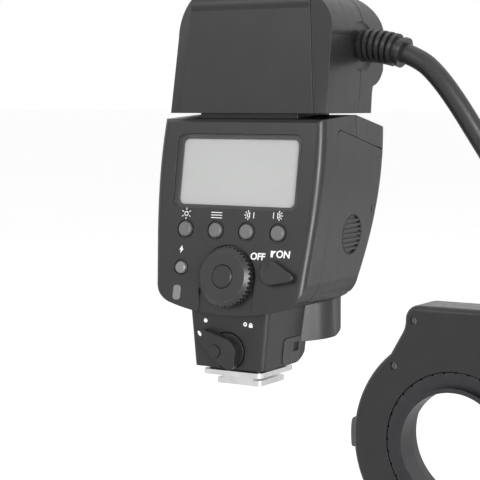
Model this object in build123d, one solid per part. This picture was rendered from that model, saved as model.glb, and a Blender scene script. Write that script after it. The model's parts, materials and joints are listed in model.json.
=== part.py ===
from build123d import *
import math
import os

# Macro ring flash: a control unit that stands on a camera's accessory shoe, a flash ring for
# the front of the lens, and the cable between them.
# Millimetres. +Z is up, +X is to the right seen from behind, +Y points to the lens's front.
# The origin is the centre of the foot plate's underside, where the unit sits in a shoe.

OVERRUN = 1.0
FIT = 0.05
SEAM_GAP = 0.3
SCREW_PLAY = 0.1
SLOT_LENGTH_SHARE = 1.2
SLOT_WIDTH_SHARE = 0.3

# Shoe foot, after the standard accessory shoe
FOOT_WIDTH = 18.6
FOOT_LENGTH = 18.0
FOOT_THICK = 2.0
FOOT_CORNER = 1.2
STEM_WIDTH = 12.4
STEM_HEIGHT = 1.9
FLANGE_WIDTH = 24.5
FLANGE_LENGTH = 24.5
FLANGE_THICK = 1.8
FLANGE_CORNER = 2.0
PLINTH_WIDTH = 22.0
PLINTH_LENGTH = 21.0
PLINTH_HEIGHT = 1.3
FOOT_SCREW_RADIUS = 1.2
FOOT_SCREW_HEAD = 2.0
FOOT_SCREW_HEAD_HEIGHT = 0.9
FOOT_SCREW_LENGTH = 7.0
FOOT_SCREW_PITCH_X = 7.6
FOOT_SCREW_PITCH_Y = 10.8

# Contacts and locking pin under the foot
CONTACT_BLOCK_WIDTH = 10.0
CONTACT_BLOCK_LENGTH = 6.4
CONTACT_BLOCK_HEIGHT = 3.0
CONTACT_RADIUS = 0.95
CONTACT_STAND = 0.7
CONTACT_LENGTH = 3.4
CONTACT_BLOCK_LIFT = 0.15
CONTACT_SIDE_PITCH = 3.6
CONTACT_ROW_PITCH = 3.4
LOCK_PIN_RADIUS = 1.1
LOCK_PIN_TRAVEL = 2.0
LOCK_PIN_FORWARD = 6.9
LOCK_PIN_LENGTH = 12.6
LOCK_PIN_LIFT = 0.3
LINK_WIDTH = 3.0
LINK_THICK = 1.1
LINK_PLATE_REAR = 6.1
LINK_PLATE_THICK = 1.2
LINK_PLATE_WIDTH = 5.0
LINK_PLATE_HEIGHT = 4.4
LINK_SLOT_PLAY = 0.1
LINK_SLOT_WIDTH = 2.6

# Neck between foot and body, with the chin block in front
NECK_HEIGHT = 19.5
NECK_WIDTH_LOW = 29.4
NECK_WIDTH_HIGH = 33.2
NECK_REAR = 16.0
NECK_DEPTH = 31.5
NECK_WALL = 2.0
NECK_OVERLAP = 4.5
NECK_TOE_SHARES = ((0.714, 0.0), (0.882, 0.08), (0.984, 0.30))
NECK_CORNER = 2.2
CHIN_WIDTH = 48.0
CHIN_ROOT = 9.0
CHIN_FLARE = 18.0
CHIN_FLARE_RADIUS = 12.0
CHIN_TOE = 29.3
CHIN_PROFILE = (
    (9.0, 14.4),
    (21.9, 15.9),
    (27.0, 18.7),
    (29.3, 24.5),
    (29.1, 31.0),
    (26.7, 36.0),
    (9.0, 36.0),
)
CHIN_BEND = 4.0
CHIN_CORNER = 5.0
PORT_LENGTH = 12.4
PORT_HEIGHT = 9.6
PORT_CORNER = 1.6
PORT_THICK = 1.6
PORT_STAND = 0.35
PORT_FORWARD = 3.3
PORT_RISE = 5.4
PORT_HOLE_WIDTH = 4.0
PORT_HOLE_HEIGHT = 3.3
PORT_HOLE_DEPTH = 1.2
PORT_HOLE_FORWARD = 6.2
PORT_HOLE_RISE = 6.5

# Shoe lock lever on the neck's rear face
LEVER_HUB_RISE = 13.4
LEVER_RECESS_RADIUS = 6.9
LEVER_RECESS_DEPTH = 1.6
LEVER_BOSS_RADIUS = 8.5
LEVER_BOSS_DEPTH = 4.0
LEVER_HUB_RADIUS = 6.5
LEVER_SHAFT_RADIUS = 2.2
CRANK_RADIUS = 3.0
CRANK_THICK = 1.2
CRANK_PIN_RADIUS = 0.7
CRANK_PIN_LENGTH = 2.6
LEVER_THICK = 3.4
LEVER_REACH = 12.6
LEVER_TIP_RADIUS = 2.2
LEVER_ROOT_RADIUS = 5.0
LEVER_TAIL_REACH = 6.8
LEVER_TAIL_RADIUS = 2.4
LEVER_ANGLE = 150.0
LEVER_TAIL_ANGLE = 300.0
LEVER_TRAVEL = 75.0
RELEASE_RADIUS = 2.3
RELEASE_STAND = 0.5
RELEASE_OFFSET_X = -3.6
RELEASE_OFFSET_Z = 0.0
RELEASE_LENGTH = 2.0
RELEASE_WELL = 3.0

# Body housing
BODY_WIDTH = 69.0
BODY_HEIGHT = 69.8
BODY_DEPTH = 51.5
BODY_REAR = 19.1
BODY_LEAN = 9.5
BODY_WALL = 2.0
BODY_SEAM = 18.0
BODY_RIDGE_RADIUS = 3.4
BODY_FRONT_RADIUS = 4.4
SEAM_GROOVE_WIDTH = 0.45
SURFACE_SINK = 0.7
BODY_SECTION_SHARES = (
    (-0.03, 0.886, 0.75),
    (0.25, 0.932, 0.91),
    (0.55, 0.985, 0.985),
    (0.80, 0.998, 1.0),
    (1.06, 0.965, 0.985),
)
OUTLINE_BOTTOM_SHARES = ((0.0, 0.0), (0.70, 0.05))
OUTLINE_CORNER_SHARES = ((0.83, 0.093), (0.907, 0.165))
PROFILE_TOP_SHARES = ((0.03, 1.005), (0.49, 1.028), (0.985, 0.955))
PROFILE_BELLY_SHARES = ((0.62, 0.0), (0.80, 0.07))
PROFILE_REAR_DROP = 30.0
PROFILE_FRONT_DROP = 60.0
PROFILE_FRONT_TOP_RADIUS = 4.0
PROFILE_BELLY_RADIUS = 5.0
BODY_SCREW_RADIUS = 1.1
BODY_SCREW_HEAD = 2.2
BODY_SCREW_HEAD_HEIGHT = 1.4
BODY_SCREW_LENGTH = 12.0
BODY_POST_RADIUS = 3.2
BODY_POST_REAR = 9.0
BODY_SCREW_SEAT = 4.0
BODY_POST_SHARES = ((-0.84, 0.881), (-0.26, 0.064), (0.26, 0.064))

# Display and its window in the sloping rear panel, heights measured along the panel
WINDOW_WIDTH = 52.4
WINDOW_HEIGHT = 27.6
WINDOW_THICK = 1.0
WINDOW_SINK = 0.45
WINDOW_CORNER = 3.0
WINDOW_RISE = 52.0
DISPLAY_WIDTH = 48.6
DISPLAY_HEIGHT = 24.2
DISPLAY_CORNER = 2.2
LCD_THICK = 2.4
LCD_WIDTH = 53.0
LCD_HEIGHT = 28.6
LCD_LIGHT_WIDTH = 44.0
LCD_LIGHT_HEIGHT = 20.0
LCD_GAP = 0.1
BOARD_WIDTH = 54.0
BOARD_HEIGHT = 58.5
BOARD_RISE = 36.8
BOARD_CORNER = 5.0
BOARD_THICK = 1.6
BOARD_DEPTH = 7.6
BOARD_POST_RADIUS = 2.2
BOARD_POSTS = ((23.0, 9.5), (24.8, 34.5))
BOARD_SCREW_RADIUS = 0.8
BOARD_SCREW_HEAD = 1.6
BOARD_SCREW_HEAD_HEIGHT = 0.9
BOARD_SCREW_LENGTH = 3.6

# Push buttons of the rear panel
BUTTON_RADIUS = 2.65
BUTTON_PLAY = 0.15
BUTTON_STAND = 1.1
BUTTON_FLANGE = 0.9
BUTTON_FLANGE_THICK = 0.8
BUTTON_FLANGE_GAP = 0.3
BUTTON_STEM_RADIUS = 1.2
BUTTON_STEM_DEPTH = 5.1
BUTTON_DOME_HEIGHT = 0.45
BUTTON_RING_WIDTH = 0.7
BUTTON_RING_DEPTH = 0.5
BUTTON_RISE = 30.6
BUTTON_PITCH = 13.0
BUTTON_COUNT = 4
PILOT_RADIUS = 2.15
PILOT_X = -20.0
PILOT_RISE = 16.4
READY_WIDTH = 3.2
READY_HEIGHT = 5.4
READY_CORNER = 1.2
READY_X = -20.9
READY_RISE = 7.2
READY_THICK = 1.6
READY_STAND = 0.2
SWITCH_SIDE = 5.0
SWITCH_HEIGHT = 1.5

# Control dial with its centre button
DIAL_RADIUS = 10.9
DIAL_FACE_RADIUS = 9.2
DIAL_HEIGHT = 4.0
DIAL_BEVEL = 1.5
DIAL_TEETH = 40
DIAL_TOOTH_RADIUS = 0.5
DIAL_RISE = 13.9
DIAL_FLOOR_GAP = 0.35
DIAL_SHAFT_RADIUS = 5.4
DIAL_BORE_RADIUS = 4.4
DIAL_HUB_LENGTH = 4.6
DIAL_RECESS_PLAY = 0.8
DIAL_RECESS_DEPTH = 0.8
CHANNEL_WIDTH = 23.0
SET_RADIUS = 4.15
SET_STAND = 0.5
SET_STEM_RADIUS = 1.5
SET_THICK = 2.4
SET_STEM_DEPTH = 5.2
ENCODER_SIDE = 13.0
ENCODER_HEIGHT = 1.2
ENCODER_SLEEVE_RADIUS = 4.35
ENCODER_SLEEVE_BORE = 2.0
ENCODER_SLEEVE_HIGH = 3.2

# Power lever
POWER_X = 18.8
POWER_RISE = 16.3
POWER_RADIUS = 4.3
POWER_REACH = 9.4
POWER_TIP_RADIUS = 1.5
POWER_THICK = 2.4
POWER_FLOOR_GAP = 0.3
POWER_SHAFT_RADIUS = 1.9
POWER_SHAFT_LENGTH = 4.4
POWER_ANGLE = -9.0
POWER_SWITCH_SIDE = 9.0
POWER_SWITCH_HEIGHT = 2.6

# Battery door on the right side, measured forward from the sloping rear panel
DOOR_REAR = 11.6
DOOR_AXIS = 46.0
DOOR_EDGE = 1.2
DOOR_INSET = 6.2
DOOR_TOP_SHARE = 0.955
DOOR_TOP_DROP = 13.2
DOOR_CORNER = 2.5
DOOR_EDGE_RADIUS = 3.85
DOOR_TRAVEL = 4.0
HINGE_INSET = 2.9
HINGE_NOTCH = 2.6
HINGE_GAP = 0.3
HINGE_RADIUS = 2.2
HINGE_PIN_RADIUS = 0.8
HINGE_LOW = 46.0
HINGE_HIGH = 62.0
HINGE_EAR = 2.0
SLIDER_THICK = 1.6
SLIDER_INSET = 9.5
SLIDER_REAR = 43.2
SLIDER_FRONT = 46.4
SLIDER_WEB = 1.5
GUIDE_GAP = 0.3
GUIDE_THICK = 1.3
GUIDE_LENGTH = 28.0
GUIDE_LIP = 47.5
GRIP_RADIUS = 7.0
GRIP_FORWARD = 30.6
GRIP_RISE = 28.6
GRIP_RIB_PITCH = 1.75
GRIP_RIB_WIDTH = 0.8
GRIP_RIB_COUNT = 7

# Batteries and power parts, in the slope of the rear panel
CELL_RADIUS = 7.1
CELL_LENGTH = 49.5
CELL_NUB_RADIUS = 2.7
CELL_NUB_HEIGHT = 1.0
CELL_PITCH = 14.5
CELL_LOW = 16.6
CELL_FIRST_X = 6.2
CELL_FIRST_DEPTH = 19.0
CONTACT_PLATE_THICK = 0.5
CONTACT_PLATE_WIDTH = 9.0
TRAY_WALL = 1.2
TRAY_CLEAR = 0.2
CAPACITOR_RADIUS = 12.4
CAPACITOR_LENGTH = 42.0
CAPACITOR_X = -15.6
CAPACITOR_DEPTH = 27.0
CAPACITOR_LOW = 20.0
CAPACITOR_BEAD = 0.6
CAPACITOR_BEAD_DROP = 3.6
POWER_BOARD_SIDE = 24.0
POWER_BOARD_THICK = 1.2
POWER_POST_RADIUS = 2.0
POWER_POST_RISE = 56.0
POWER_POST_INSET = 3.6
TRANSFORMER_SIDE = 15.0
TRANSFORMER_HEIGHT = 5.0
TRANSFORMER_CORE = 5.0
TRANSFORMER_FLANGE = 1.0

# Head above the body
HEAD_GAP = 2.5
HEAD_WIDTH = 66.0
HEAD_HEIGHT = 44.6
HEAD_DEPTH = 36.4
HEAD_REAR = 4.9
HEAD_LEAN = 5.3
HEAD_WALL = 2.0
HEAD_SEAM = 21.4
HEAD_SEAM_LEAN = 8.0
HEAD_SIDE_SHARES = (0.978, 0.63)
HEAD_SHOULDER_SHARES = ((0.895, 0.865), (0.60, 1.0))
HEAD_TOP_SHARES = ((0.096, 0.84), (0.13, 0.962), (0.30, 1.0))
HEAD_NOSE_TOP_SHARES = ((0.85, 0.995), (1.18, 0.87), (1.31, 0.69))
HEAD_NOSE_LOW_SHARES = ((1.295, 0.365), (1.20, 0.275), (1.055, 0.225))
HEAD_CHEEK_SHARE = (1.03, 0.17)
BEVEL_LOW_X = 28.3
BEVEL_HIGH_X = 24.4
BEVEL_STEP = 1.0
BEVEL_LOW_FALL = 0.6
BEVEL_HIGH_FALL = 4.6
COLLAR_WIDTH = 41.0
COLLAR_BACK = 3.0
COLLAR_LENGTH = 24.0
HEAD_POST_RADIUS = 3.2
HEAD_POST_SHARES = ((-0.72, 0.09), (0.72, 0.09), (-0.52, 0.91), (0.52, 0.91))
HEAD_BOARD_WIDTH = 44.0
HEAD_BOARD_HEIGHT = 30.0
HEAD_BOARD_THICK = 1.6
HEAD_BOARD_DEPTH = 6.0
HEAD_BOARD_RISE = 6.0

# Cable and its two ribbed strain reliefs
CABLE_RADIUS = 3.7
RELIEF_RADIUS = 6.0
RELIEF_CORE_RADIUS = 4.7
RELIEF_LENGTH = 17.0
RELIEF_RIBS = 6
RELIEF_RIB_SHARE = 0.55
RELIEF_BEND = 20.0
RELIEF_ROOT = 3.0
RELIEF_COLLAR_RADIUS = 5.6
RELIEF_RISE = 24.6
RELIEF_DISH_RADIUS = 10.0
RELIEF_DISH_DEPTH = 1.6
CABLE_ARC_SHARE = 0.45
CABLE_FIRST_RUN = 7.0
CABLE_LAST_RUN = 14.0
CABLE_ROUTE = (
    (62.5, 25.2, 112.4),
    (69.2, 26.0, 103.7),
    (77.0, 28.0, 91.0),
    (86.0, 33.0, 74.5),
    (95.5, 43.0, 51.0),
    (104.0, 60.0, 23.0),
    (109.0, 83.0, -5.0),
    (109.0, 112.0, -28.0),
    (105.5, 143.0, -39.5),
    (97.0, 172.0, -38.0),
    (83.0, 193.0, -30.0),
)

# Flash ring, placed in front of and below the foot as it is worn
RING_FORWARD = 190.0
RING_DROP = 62.0
RING_RADIUS = 55.0
RING_DEPTH = 26.0
RING_SPLIT = 12.0
RING_WALL = 2.2
RING_BORE_RADIUS = 32.2
RING_HUB_WALL = 1.8
RING_EDGE_RADIUS = 3.0
TAB_RISE = 67.0
TAB_HALF_WIDTH = 27.5
TAB_FOOT_HALF_WIDTH = 36.0
TAB_FOOT_RISE = 41.0
TAB_WAIST_RISE = 56.0
TAB_CORNER = 7.0
TAB_BLEND = 12.0
RING_SCREW_PLACES = ((22.6, 59.4), (33.0, 36.4), (37.0, -33.0))
RING_SCREW_RADIUS = 1.0
RING_SCREW_HEAD = 1.8
RING_SCREW_HEAD_HEIGHT = 1.2
RING_SCREW_LENGTH = 11.0
RING_SCREW_SINK = 3.0
RING_POST_RADIUS = 4.0
RING_POST_TOP = 15.1
GLAND_RISE = 47.0
GLAND_REACH = 38.0
GLAND_RADIUS = 8.0
GLAND_START = 20.0
GLAND_WALL = 2.2

# Light windows, reflectors and tubes of the ring
LIGHT_INNER_RADIUS = 37.0
LIGHT_OUTER_RADIUS = 51.0
LIGHT_HALF_ANGLE = 62.0
DIFFUSER_THICK = 1.8
DIFFUSER_SINK = 0.4
DIFFUSER_RIB_COUNT = 15
DIFFUSER_RIB_WIDTH = 0.6
DIFFUSER_RIB_DEPTH = 0.5
REFLECTOR_WALL = 0.6
REFLECTOR_DEPTH = 8.4
TUBE_RADIUS = 2.0
TUBE_LIFT = 4.6
TUBE_END_ANGLE = 4.0
TUBE_END_RADIUS = 2.4
LAMP_TIP = 1.0
LAMP_RADIUS = 2.6
LAMP_LENGTH = 10.5
LAMP_RING_RADIUS = 45.0
RING_BOARD_THICK = 1.2
RING_BOARD_OUTER = 44.5
RING_BOARD_INNER = 34.6

# Adapter ring, screwed into the lens's filter thread
ADAPTER_FLANGE_RADIUS = 36.0
ADAPTER_FLANGE_THICK = 3.0
ADAPTER_HUB_RADIUS = 31.9
ADAPTER_HUB_LENGTH = 7.0
ADAPTER_GROOVE_START = 2.3
ADAPTER_GROOVE_WIDTH = 3.4
ADAPTER_POCKET_PLAY = 0.4
ADAPTER_INNER_RADIUS = 26.8
ADAPTER_THREAD_RADIUS = 29.0
ADAPTER_THREAD_LENGTH = 4.0
ADAPTER_GROOVE_DEPTH = 1.2
ADAPTER_SINK = 0.4
ADAPTER_GRIP_COUNT = 36
ADAPTER_GRIP_RADIUS = 0.6

# Release buttons and latch plates of the ring
LATCH_THICK = 1.2
LATCH_GAP = 0.4
LATCH_DEPTH = 6.0
LATCH_PLAY = 0.3
LATCH_INNER_RADIUS = 36.6
LATCH_OUTER_RADIUS = 39.4
LATCH_CLAW_WIDTH = 8.0
LATCH_ARM_WIDTH = 7.0
LATCH_ARM_REACH = 49.5
LATCH_BITE = 0.9
RING_BUTTON_WIDTH = 15.0
RING_BUTTON_DEPTH = 6.4
RING_BUTTON_STAND = 3.0
RING_BUTTON_LOW = 4.2
RING_BUTTON_FLANGE_WIDTH = 18.0
RING_BUTTON_FLANGE_DEPTH = 8.4
RING_BUTTON_FLANGE_THICK = 2.1
RING_BUTTON_CORNER = 2.0

# Heights worked out from the sizes above
stem_top = FOOT_THICK + STEM_HEIGHT
flange_top = stem_top + FLANGE_THICK
neck_bottom = flange_top + PLINTH_HEIGHT
body_bottom = neck_bottom + NECK_HEIGHT
body_top = body_bottom + BODY_HEIGHT
head_bottom = body_top + HEAD_GAP
flange_centre_y = -NECK_REAR + FLANGE_LENGTH / 2 + FLANGE_CORNER
far = BODY_WIDTH + BODY_HEIGHT
door_inner_x = BODY_WIDTH / 2 - DOOR_INSET
hinge_x = BODY_WIDTH / 2 - HINGE_INSET
slider_x = BODY_WIDTH / 2 - SLIDER_INSET

lean = math.radians(BODY_LEAN)
panel = Plane(
    origin=(0, -BODY_REAR, body_bottom),
    x_dir=(1, 0, 0),
    z_dir=(0, -math.cos(lean), math.sin(lean)),
)
panel_up = Vector(0, math.sin(lean), math.cos(lean))
panel_out = Vector(0, -math.cos(lean), math.sin(lean))
ring_plane = Plane(origin=(0, RING_FORWARD, -RING_DROP), x_dir=(-1, 0, 0), z_dir=(0, 1, 0))
MIN3 = (Align.CENTER, Align.CENTER, Align.MIN)


def block(x, y, z):
    """Box between two limits on each axis."""
    centre = Pos((x[0] + x[1]) / 2, (y[0] + y[1]) / 2, (z[0] + z[1]) / 2)
    return centre * Box(x[1] - x[0], y[1] - y[0], z[1] - z[0])


def rod(start, direction, radius, length):
    """Round bar from a point along a direction."""
    return Plane(origin=start, z_dir=direction) * Cylinder(radius, length, align=MIN3)


def cone(start, direction, radius, end_radius, length):
    """Tapered round bar from a point along a direction."""
    return Plane(origin=start, z_dir=direction) * Cone(radius, end_radius, length, align=MIN3)


def on_panel(x, rise, out=0.0):
    """Place on the rear panel: across, up the slope, and outward from it."""
    return panel.location * Pos(x, rise, out)


def panel_rod(x, rise, low, high, radius):
    """Round bar square to the rear panel."""
    return on_panel(x, rise, low) * Cylinder(radius, high - low, align=MIN3)


def panel_plate(x, rise, low, high, width, height, corner):
    """Plate with round corners, parallel to the rear panel."""
    return on_panel(x, rise, low) * extrude(RectangleRounded(width, height, corner), high - low)


def panel_block(x, rise, out):
    """Box between two limits on each axis of the rear panel."""
    return panel.location * block(x, rise, out)


def on_ring(x, up, depth=0.0):
    """Place on the flash ring: across, up, and forward from its rear face."""
    return ring_plane.location * Pos(-x, up, depth)


def ring_rod(x, up, low, high, radius):
    """Round bar along the lens axis."""
    return on_ring(x, up, low) * Cylinder(radius, high - low, align=MIN3)


def ring_band(low, high, outer, inner):
    """Round band about the lens axis."""
    return ring_rod(0, 0, low, high, outer) - ring_rod(0, 0, low, high, inner)


def rear_y(z):
    """Forward position of the sloping rear panel at a height."""
    return -BODY_REAR + (z - body_bottom) * math.tan(lean)


def body_place(share):
    """Side-view point from a share of the body's depth and height."""
    z = body_bottom + share[1] * BODY_HEIGHT
    return (rear_y(z) + share[0] * BODY_DEPTH, z)


def outline_place(share, side=1):
    """Rear-view point from a share of the body's half width and height."""
    return (side * share[0] * BODY_WIDTH / 2, body_bottom + share[1] * BODY_HEIGHT)


def body_section(share, inset):
    """Level slice of the body at a height, its corners rounded, drawn in by an inset."""
    height, width, depth = share
    z = body_bottom + height * BODY_HEIGHT
    half = width * BODY_WIDTH / 2 - inset
    rear = rear_y(z) + inset
    front = rear_y(z) + depth * BODY_DEPTH - inset
    slice_face = Pos(0, (rear + front) / 2) * Rectangle(2 * half, front - rear)
    corners = slice_face.vertices().sort_by(Axis.Y)
    slice_face = fillet(corners[:2], BODY_RIDGE_RADIUS - inset / 2)
    corners = slice_face.vertices().sort_by(Axis.Y)
    slice_face = fillet(corners[-2:], BODY_FRONT_RADIUS - inset / 2)
    return Pos(0, 0, z) * slice_face


def body_outline(inset):
    """Rear-view outline that rounds the body's lower corners onto a shallow curved bottom."""
    middle, low = (outline_place(share) for share in OUTLINE_BOTTOM_SHARES)
    knee, corner = (outline_place(share) for share in OUTLINE_CORNER_SHARES)
    wide = BODY_WIDTH
    tall = body_top + BODY_HEIGHT
    lines = [
        ThreePointArc((-low[0], low[1]), middle, low),
        ThreePointArc(low, knee, corner),
        Line(corner, (wide, corner[1] + wide)),
        Line((wide, corner[1] + wide), (wide, tall)),
        Line((wide, tall), (-wide, tall)),
        Line((-wide, tall), (-wide, corner[1] + wide)),
        Line((-wide, corner[1] + wide), (-corner[0], corner[1])),
        ThreePointArc((-corner[0], corner[1]), (-knee[0], knee[1]), (-low[0], low[1])),
    ]
    face = make_face(lines)
    return offset(face, -inset) if inset else face


def body_profile(inset):
    """Side-view profile that gives the body its low gabled top and its belly."""
    rear_top, ridge, front_top = (body_place(share) for share in PROFILE_TOP_SHARES)
    belly, belly_front = (body_place(share) for share in PROFILE_BELLY_SHARES)
    low = body_bottom - OVERRUN
    face = make_face(
        Polyline(
            (-BODY_DEPTH, low),
            (-BODY_DEPTH, rear_top[1] - PROFILE_REAR_DROP),
            rear_top,
            ridge,
            front_top,
            (BODY_DEPTH + BODY_REAR, front_top[1] - PROFILE_FRONT_DROP),
            (BODY_DEPTH + BODY_REAR, belly_front[1] + BODY_DEPTH),
            belly_front,
            belly,
            (belly[0], low),
            close=True,
        )
    )
    corners = ((front_top, PROFILE_FRONT_TOP_RADIUS), (belly_front, PROFILE_BELLY_RADIUS))
    for place, radius in corners:
        nearest = face.vertices().sort_by_distance(Vector(*place))[0]
        face = fillet(nearest, radius)
    return offset(face, -inset) if inset else face


def body_form(inset):
    """The body's form: lofted level slices, cut by its outline and its profile."""
    upright = loft([body_section(share, inset) for share in BODY_SECTION_SHARES])
    across = extrude(Plane.XZ * body_outline(inset), far, both=True)
    along = extrude(Plane.YZ * body_profile(inset), far, both=True)
    return upright & across & along


def half_space_y(limit, forward):
    """Everything in front of, or behind, a cross plane."""
    y = (limit, limit + far) if forward else (limit - far, limit)
    return block((-far, far), y, (-far, far + body_top))


def door_region(gap, reach=DOOR_EDGE):
    """The door's side-view area, grown by a gap, as a bar from its inner edge outward."""
    low = body_bottom - OVERRUN
    rear = DOOR_REAR - gap
    front = DOOR_AXIS + reach + gap
    top = body_bottom + DOOR_TOP_SHARE * BODY_HEIGHT + gap
    drop = math.tan(math.radians(DOOR_TOP_DROP))
    start = (rear_y(top) + rear, top)
    turn = 1 + drop * math.tan(lean)
    fall = (front - rear) * drop / turn
    end = (rear_y(top - fall) + front, top - fall)
    area = make_face(
        Polyline(
            start,
            end,
            (rear_y(low) + front, low),
            (rear_y(low) + rear, low),
            close=True,
        )
    )
    nearest = area.vertices().sort_by_distance(Vector(*start))[0]
    area = fillet(nearest, DOOR_CORNER)
    inner = door_inner_x - 2 * gap
    return Pos(inner, 0, 0) * extrude(Plane.YZ * area, BODY_WIDTH)


def side_places(shares, width, depth_start, low, height):
    """Points across and up a housing, from shares of its half width and height."""
    return [(x * width / 2, depth_start, low + z * height) for x, z in shares]


def teardrop(start, start_radius, end, end_radius):
    """Flat outline round a large circle and a small one."""
    along = math.atan2(end[1] - start[1], end[0] - start[0])
    opening = math.acos((start_radius - end_radius) / math.dist(start, end))
    corners = []
    for centre, radius, sides in ((start, start_radius, (1, -1)), (end, end_radius, (-1, 1))):
        for side in sides:
            angle = along + side * opening
            corners.append((centre[0] + radius * math.cos(angle), centre[1] + radius * math.sin(angle)))
    middle = make_face(Polyline(*corners, close=True))
    return middle + Pos(*start) * Circle(start_radius) + Pos(*end) * Circle(end_radius)


def screw(seat, direction, radius, length, head_radius, head_height):
    """Screw with a cross recess, its head's underside at the seat."""
    back = Vector(*direction) * -1
    shape = rod(seat, direction, radius, length) + rod(seat, back, head_radius, head_height)
    top = Plane(origin=seat, z_dir=back) * Pos(0, 0, head_height)
    arm = head_radius * SLOT_LENGTH_SHARE
    width = head_radius * SLOT_WIDTH_SHARE
    shape -= top * Box(arm, width, head_height)
    return shape - top * Box(width, arm, head_height)


def drilled(shape, seat, direction, radius, length, head_radius, head_reach):
    """A shape with a screw's hole, and the way in for its head."""
    back = Vector(*direction) * -1
    shape -= rod(seat, direction, radius + SCREW_PLAY, length + SCREW_PLAY)
    return shape - rod(seat, back, head_radius + SCREW_PLAY, head_reach)


def separate(pieces):
    """Pieces kept as separate solids in one node."""
    solids = []
    for piece in pieces:
        solids.extend(piece.solids())
    return Compound(children=solids)


# Places shared by several pieces
pin_y = LOCK_PIN_FORWARD
foot_screw_places = [
    (side * FOOT_SCREW_PITCH_X / 2, end * FOOT_SCREW_PITCH_Y / 2) for side in (-1, 1) for end in (-1, 1)
]
foot_screw_seat = LOCK_PIN_LIFT + FOOT_SCREW_HEAD_HEIGHT
contact_places = [(0, 0)] + [
    (side * CONTACT_SIDE_PITCH, end * CONTACT_ROW_PITCH / 2) for side in (-1, 1) for end in (-1, 1)
]
hub = Vector(0, -NECK_REAR, LEVER_HUB_RISE)
half_turn = math.radians(LEVER_TRAVEL / 2)
crank_offset = LOCK_PIN_TRAVEL / 2 / math.sin(half_turn)
crank_x = crank_offset * math.cos(half_turn)
crank_z = LEVER_HUB_RISE + LOCK_PIN_TRAVEL / 2
side_lean = math.atan((NECK_WIDTH_HIGH - NECK_WIDTH_LOW) / 2 / NECK_HEIGHT)
side_plane = Plane(
    origin=(NECK_WIDTH_LOW / 2, 0, neck_bottom),
    x_dir=(0, 1, 0),
    z_dir=(math.cos(side_lean), 0, -math.sin(side_lean)),
)
hinge_out = -DOOR_AXIS * math.cos(lean)
body_posts = side_places(BODY_POST_SHARES, BODY_WIDTH, BODY_SEAM, body_bottom, BODY_HEIGHT)
head_posts = [
    (x, HEAD_SEAM + (z - head_bottom) * math.tan(math.radians(HEAD_SEAM_LEAN)), z)
    for x, y, z in side_places(HEAD_POST_SHARES, HEAD_WIDTH, HEAD_SEAM, head_bottom, HEAD_HEIGHT)
]
button_places = [
    (BUTTON_PITCH * (i - (BUTTON_COUNT - 1) / 2), BUTTON_RISE) for i in range(BUTTON_COUNT)
]
board_places = [(side * x, rise) for x, rise in BOARD_POSTS for side in (-1, 1)]
board_back = -(BOARD_DEPTH + BOARD_THICK)
dial_floor = -DIAL_RECESS_DEPTH + DIAL_FLOOR_GAP
cell_places = [
    (CELL_FIRST_X + i * CELL_PITCH, -(CELL_FIRST_DEPTH + j * CELL_PITCH), (i + j) % 2)
    for i in range(2)
    for j in range(2)
]
cell_top = CELL_LOW + CELL_LENGTH + CELL_NUB_HEIGHT
cell_reach = CELL_RADIUS + TRAY_CLEAR
ring_screw_places = [(side * x, up) for x, up in RING_SCREW_PLACES for side in (-1, 1)]
adapter_top = ADAPTER_SINK + ADAPTER_FLANGE_THICK
latch_low = LATCH_DEPTH
latch_high = LATCH_DEPTH + 2 * LATCH_THICK + LATCH_GAP
front_inside = RING_DEPTH - RING_WALL
forward = (0, 1, 0)
backward = (0, -1, 0)

body_outer = body_form(0)
body_inner = body_form(BODY_WALL)
body_sunk = body_form(SURFACE_SINK)
body_skin = body_outer - body_sunk


def make_shoe_foot():
    """Foot plate and stem that slide into the shoe."""
    foot = extrude(RectangleRounded(FOOT_WIDTH, FOOT_LENGTH, FOOT_CORNER), FOOT_THICK)
    stem_half = STEM_WIDTH / 2
    foot += block((-stem_half, stem_half), (-FOOT_LENGTH / 2, FOOT_LENGTH / 2), (FOOT_THICK, stem_top))
    foot -= Box(CONTACT_BLOCK_WIDTH, CONTACT_BLOCK_LENGTH, stem_top + far)
    foot -= rod((0, pin_y, -OVERRUN), (0, 0, 1), LOCK_PIN_RADIUS + FIT, stem_top + 2 * OVERRUN)
    for x, y in foot_screw_places:
        seat = (x, y, foot_screw_seat)
        foot = drilled(
            foot,
            seat,
            (0, 0, 1),
            FOOT_SCREW_RADIUS,
            FOOT_SCREW_LENGTH,
            FOOT_SCREW_HEAD,
            foot_screw_seat + OVERRUN,
        )
    return foot


def make_lock_flange():
    """Pale metal plate between the foot and the neck."""
    plate = RectangleRounded(FLANGE_WIDTH, FLANGE_LENGTH, FLANGE_CORNER)
    flange = Pos(0, flange_centre_y, stem_top) * extrude(plate, FLANGE_THICK)
    flange -= rod(
        (0, pin_y, stem_top - OVERRUN), (0, 0, 1), LOCK_PIN_RADIUS + FIT, FLANGE_THICK + 2 * OVERRUN
    )
    for x, y in foot_screw_places:
        flange -= rod((x, y, 0), (0, 0, 1), FOOT_SCREW_RADIUS + SCREW_PLAY, flange_top + OVERRUN)
    return flange


def make_foot_screws():
    return separate(
        screw(
            (x, y, foot_screw_seat),
            (0, 0, 1),
            FOOT_SCREW_RADIUS,
            FOOT_SCREW_LENGTH,
            FOOT_SCREW_HEAD,
            FOOT_SCREW_HEAD_HEIGHT,
        )
        for x, y in foot_screw_places
    )


def make_contact_block():
    """Insulator that carries the contacts."""
    shape = Pos(0, 0, CONTACT_BLOCK_LIFT + CONTACT_BLOCK_HEIGHT / 2) * Box(
        CONTACT_BLOCK_WIDTH, CONTACT_BLOCK_LENGTH, CONTACT_BLOCK_HEIGHT
    )
    for x, y in contact_places:
        shape -= rod((x, y, 0), (0, 0, 1), CONTACT_RADIUS + FIT, CONTACT_BLOCK_HEIGHT + OVERRUN)
    return shape


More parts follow.
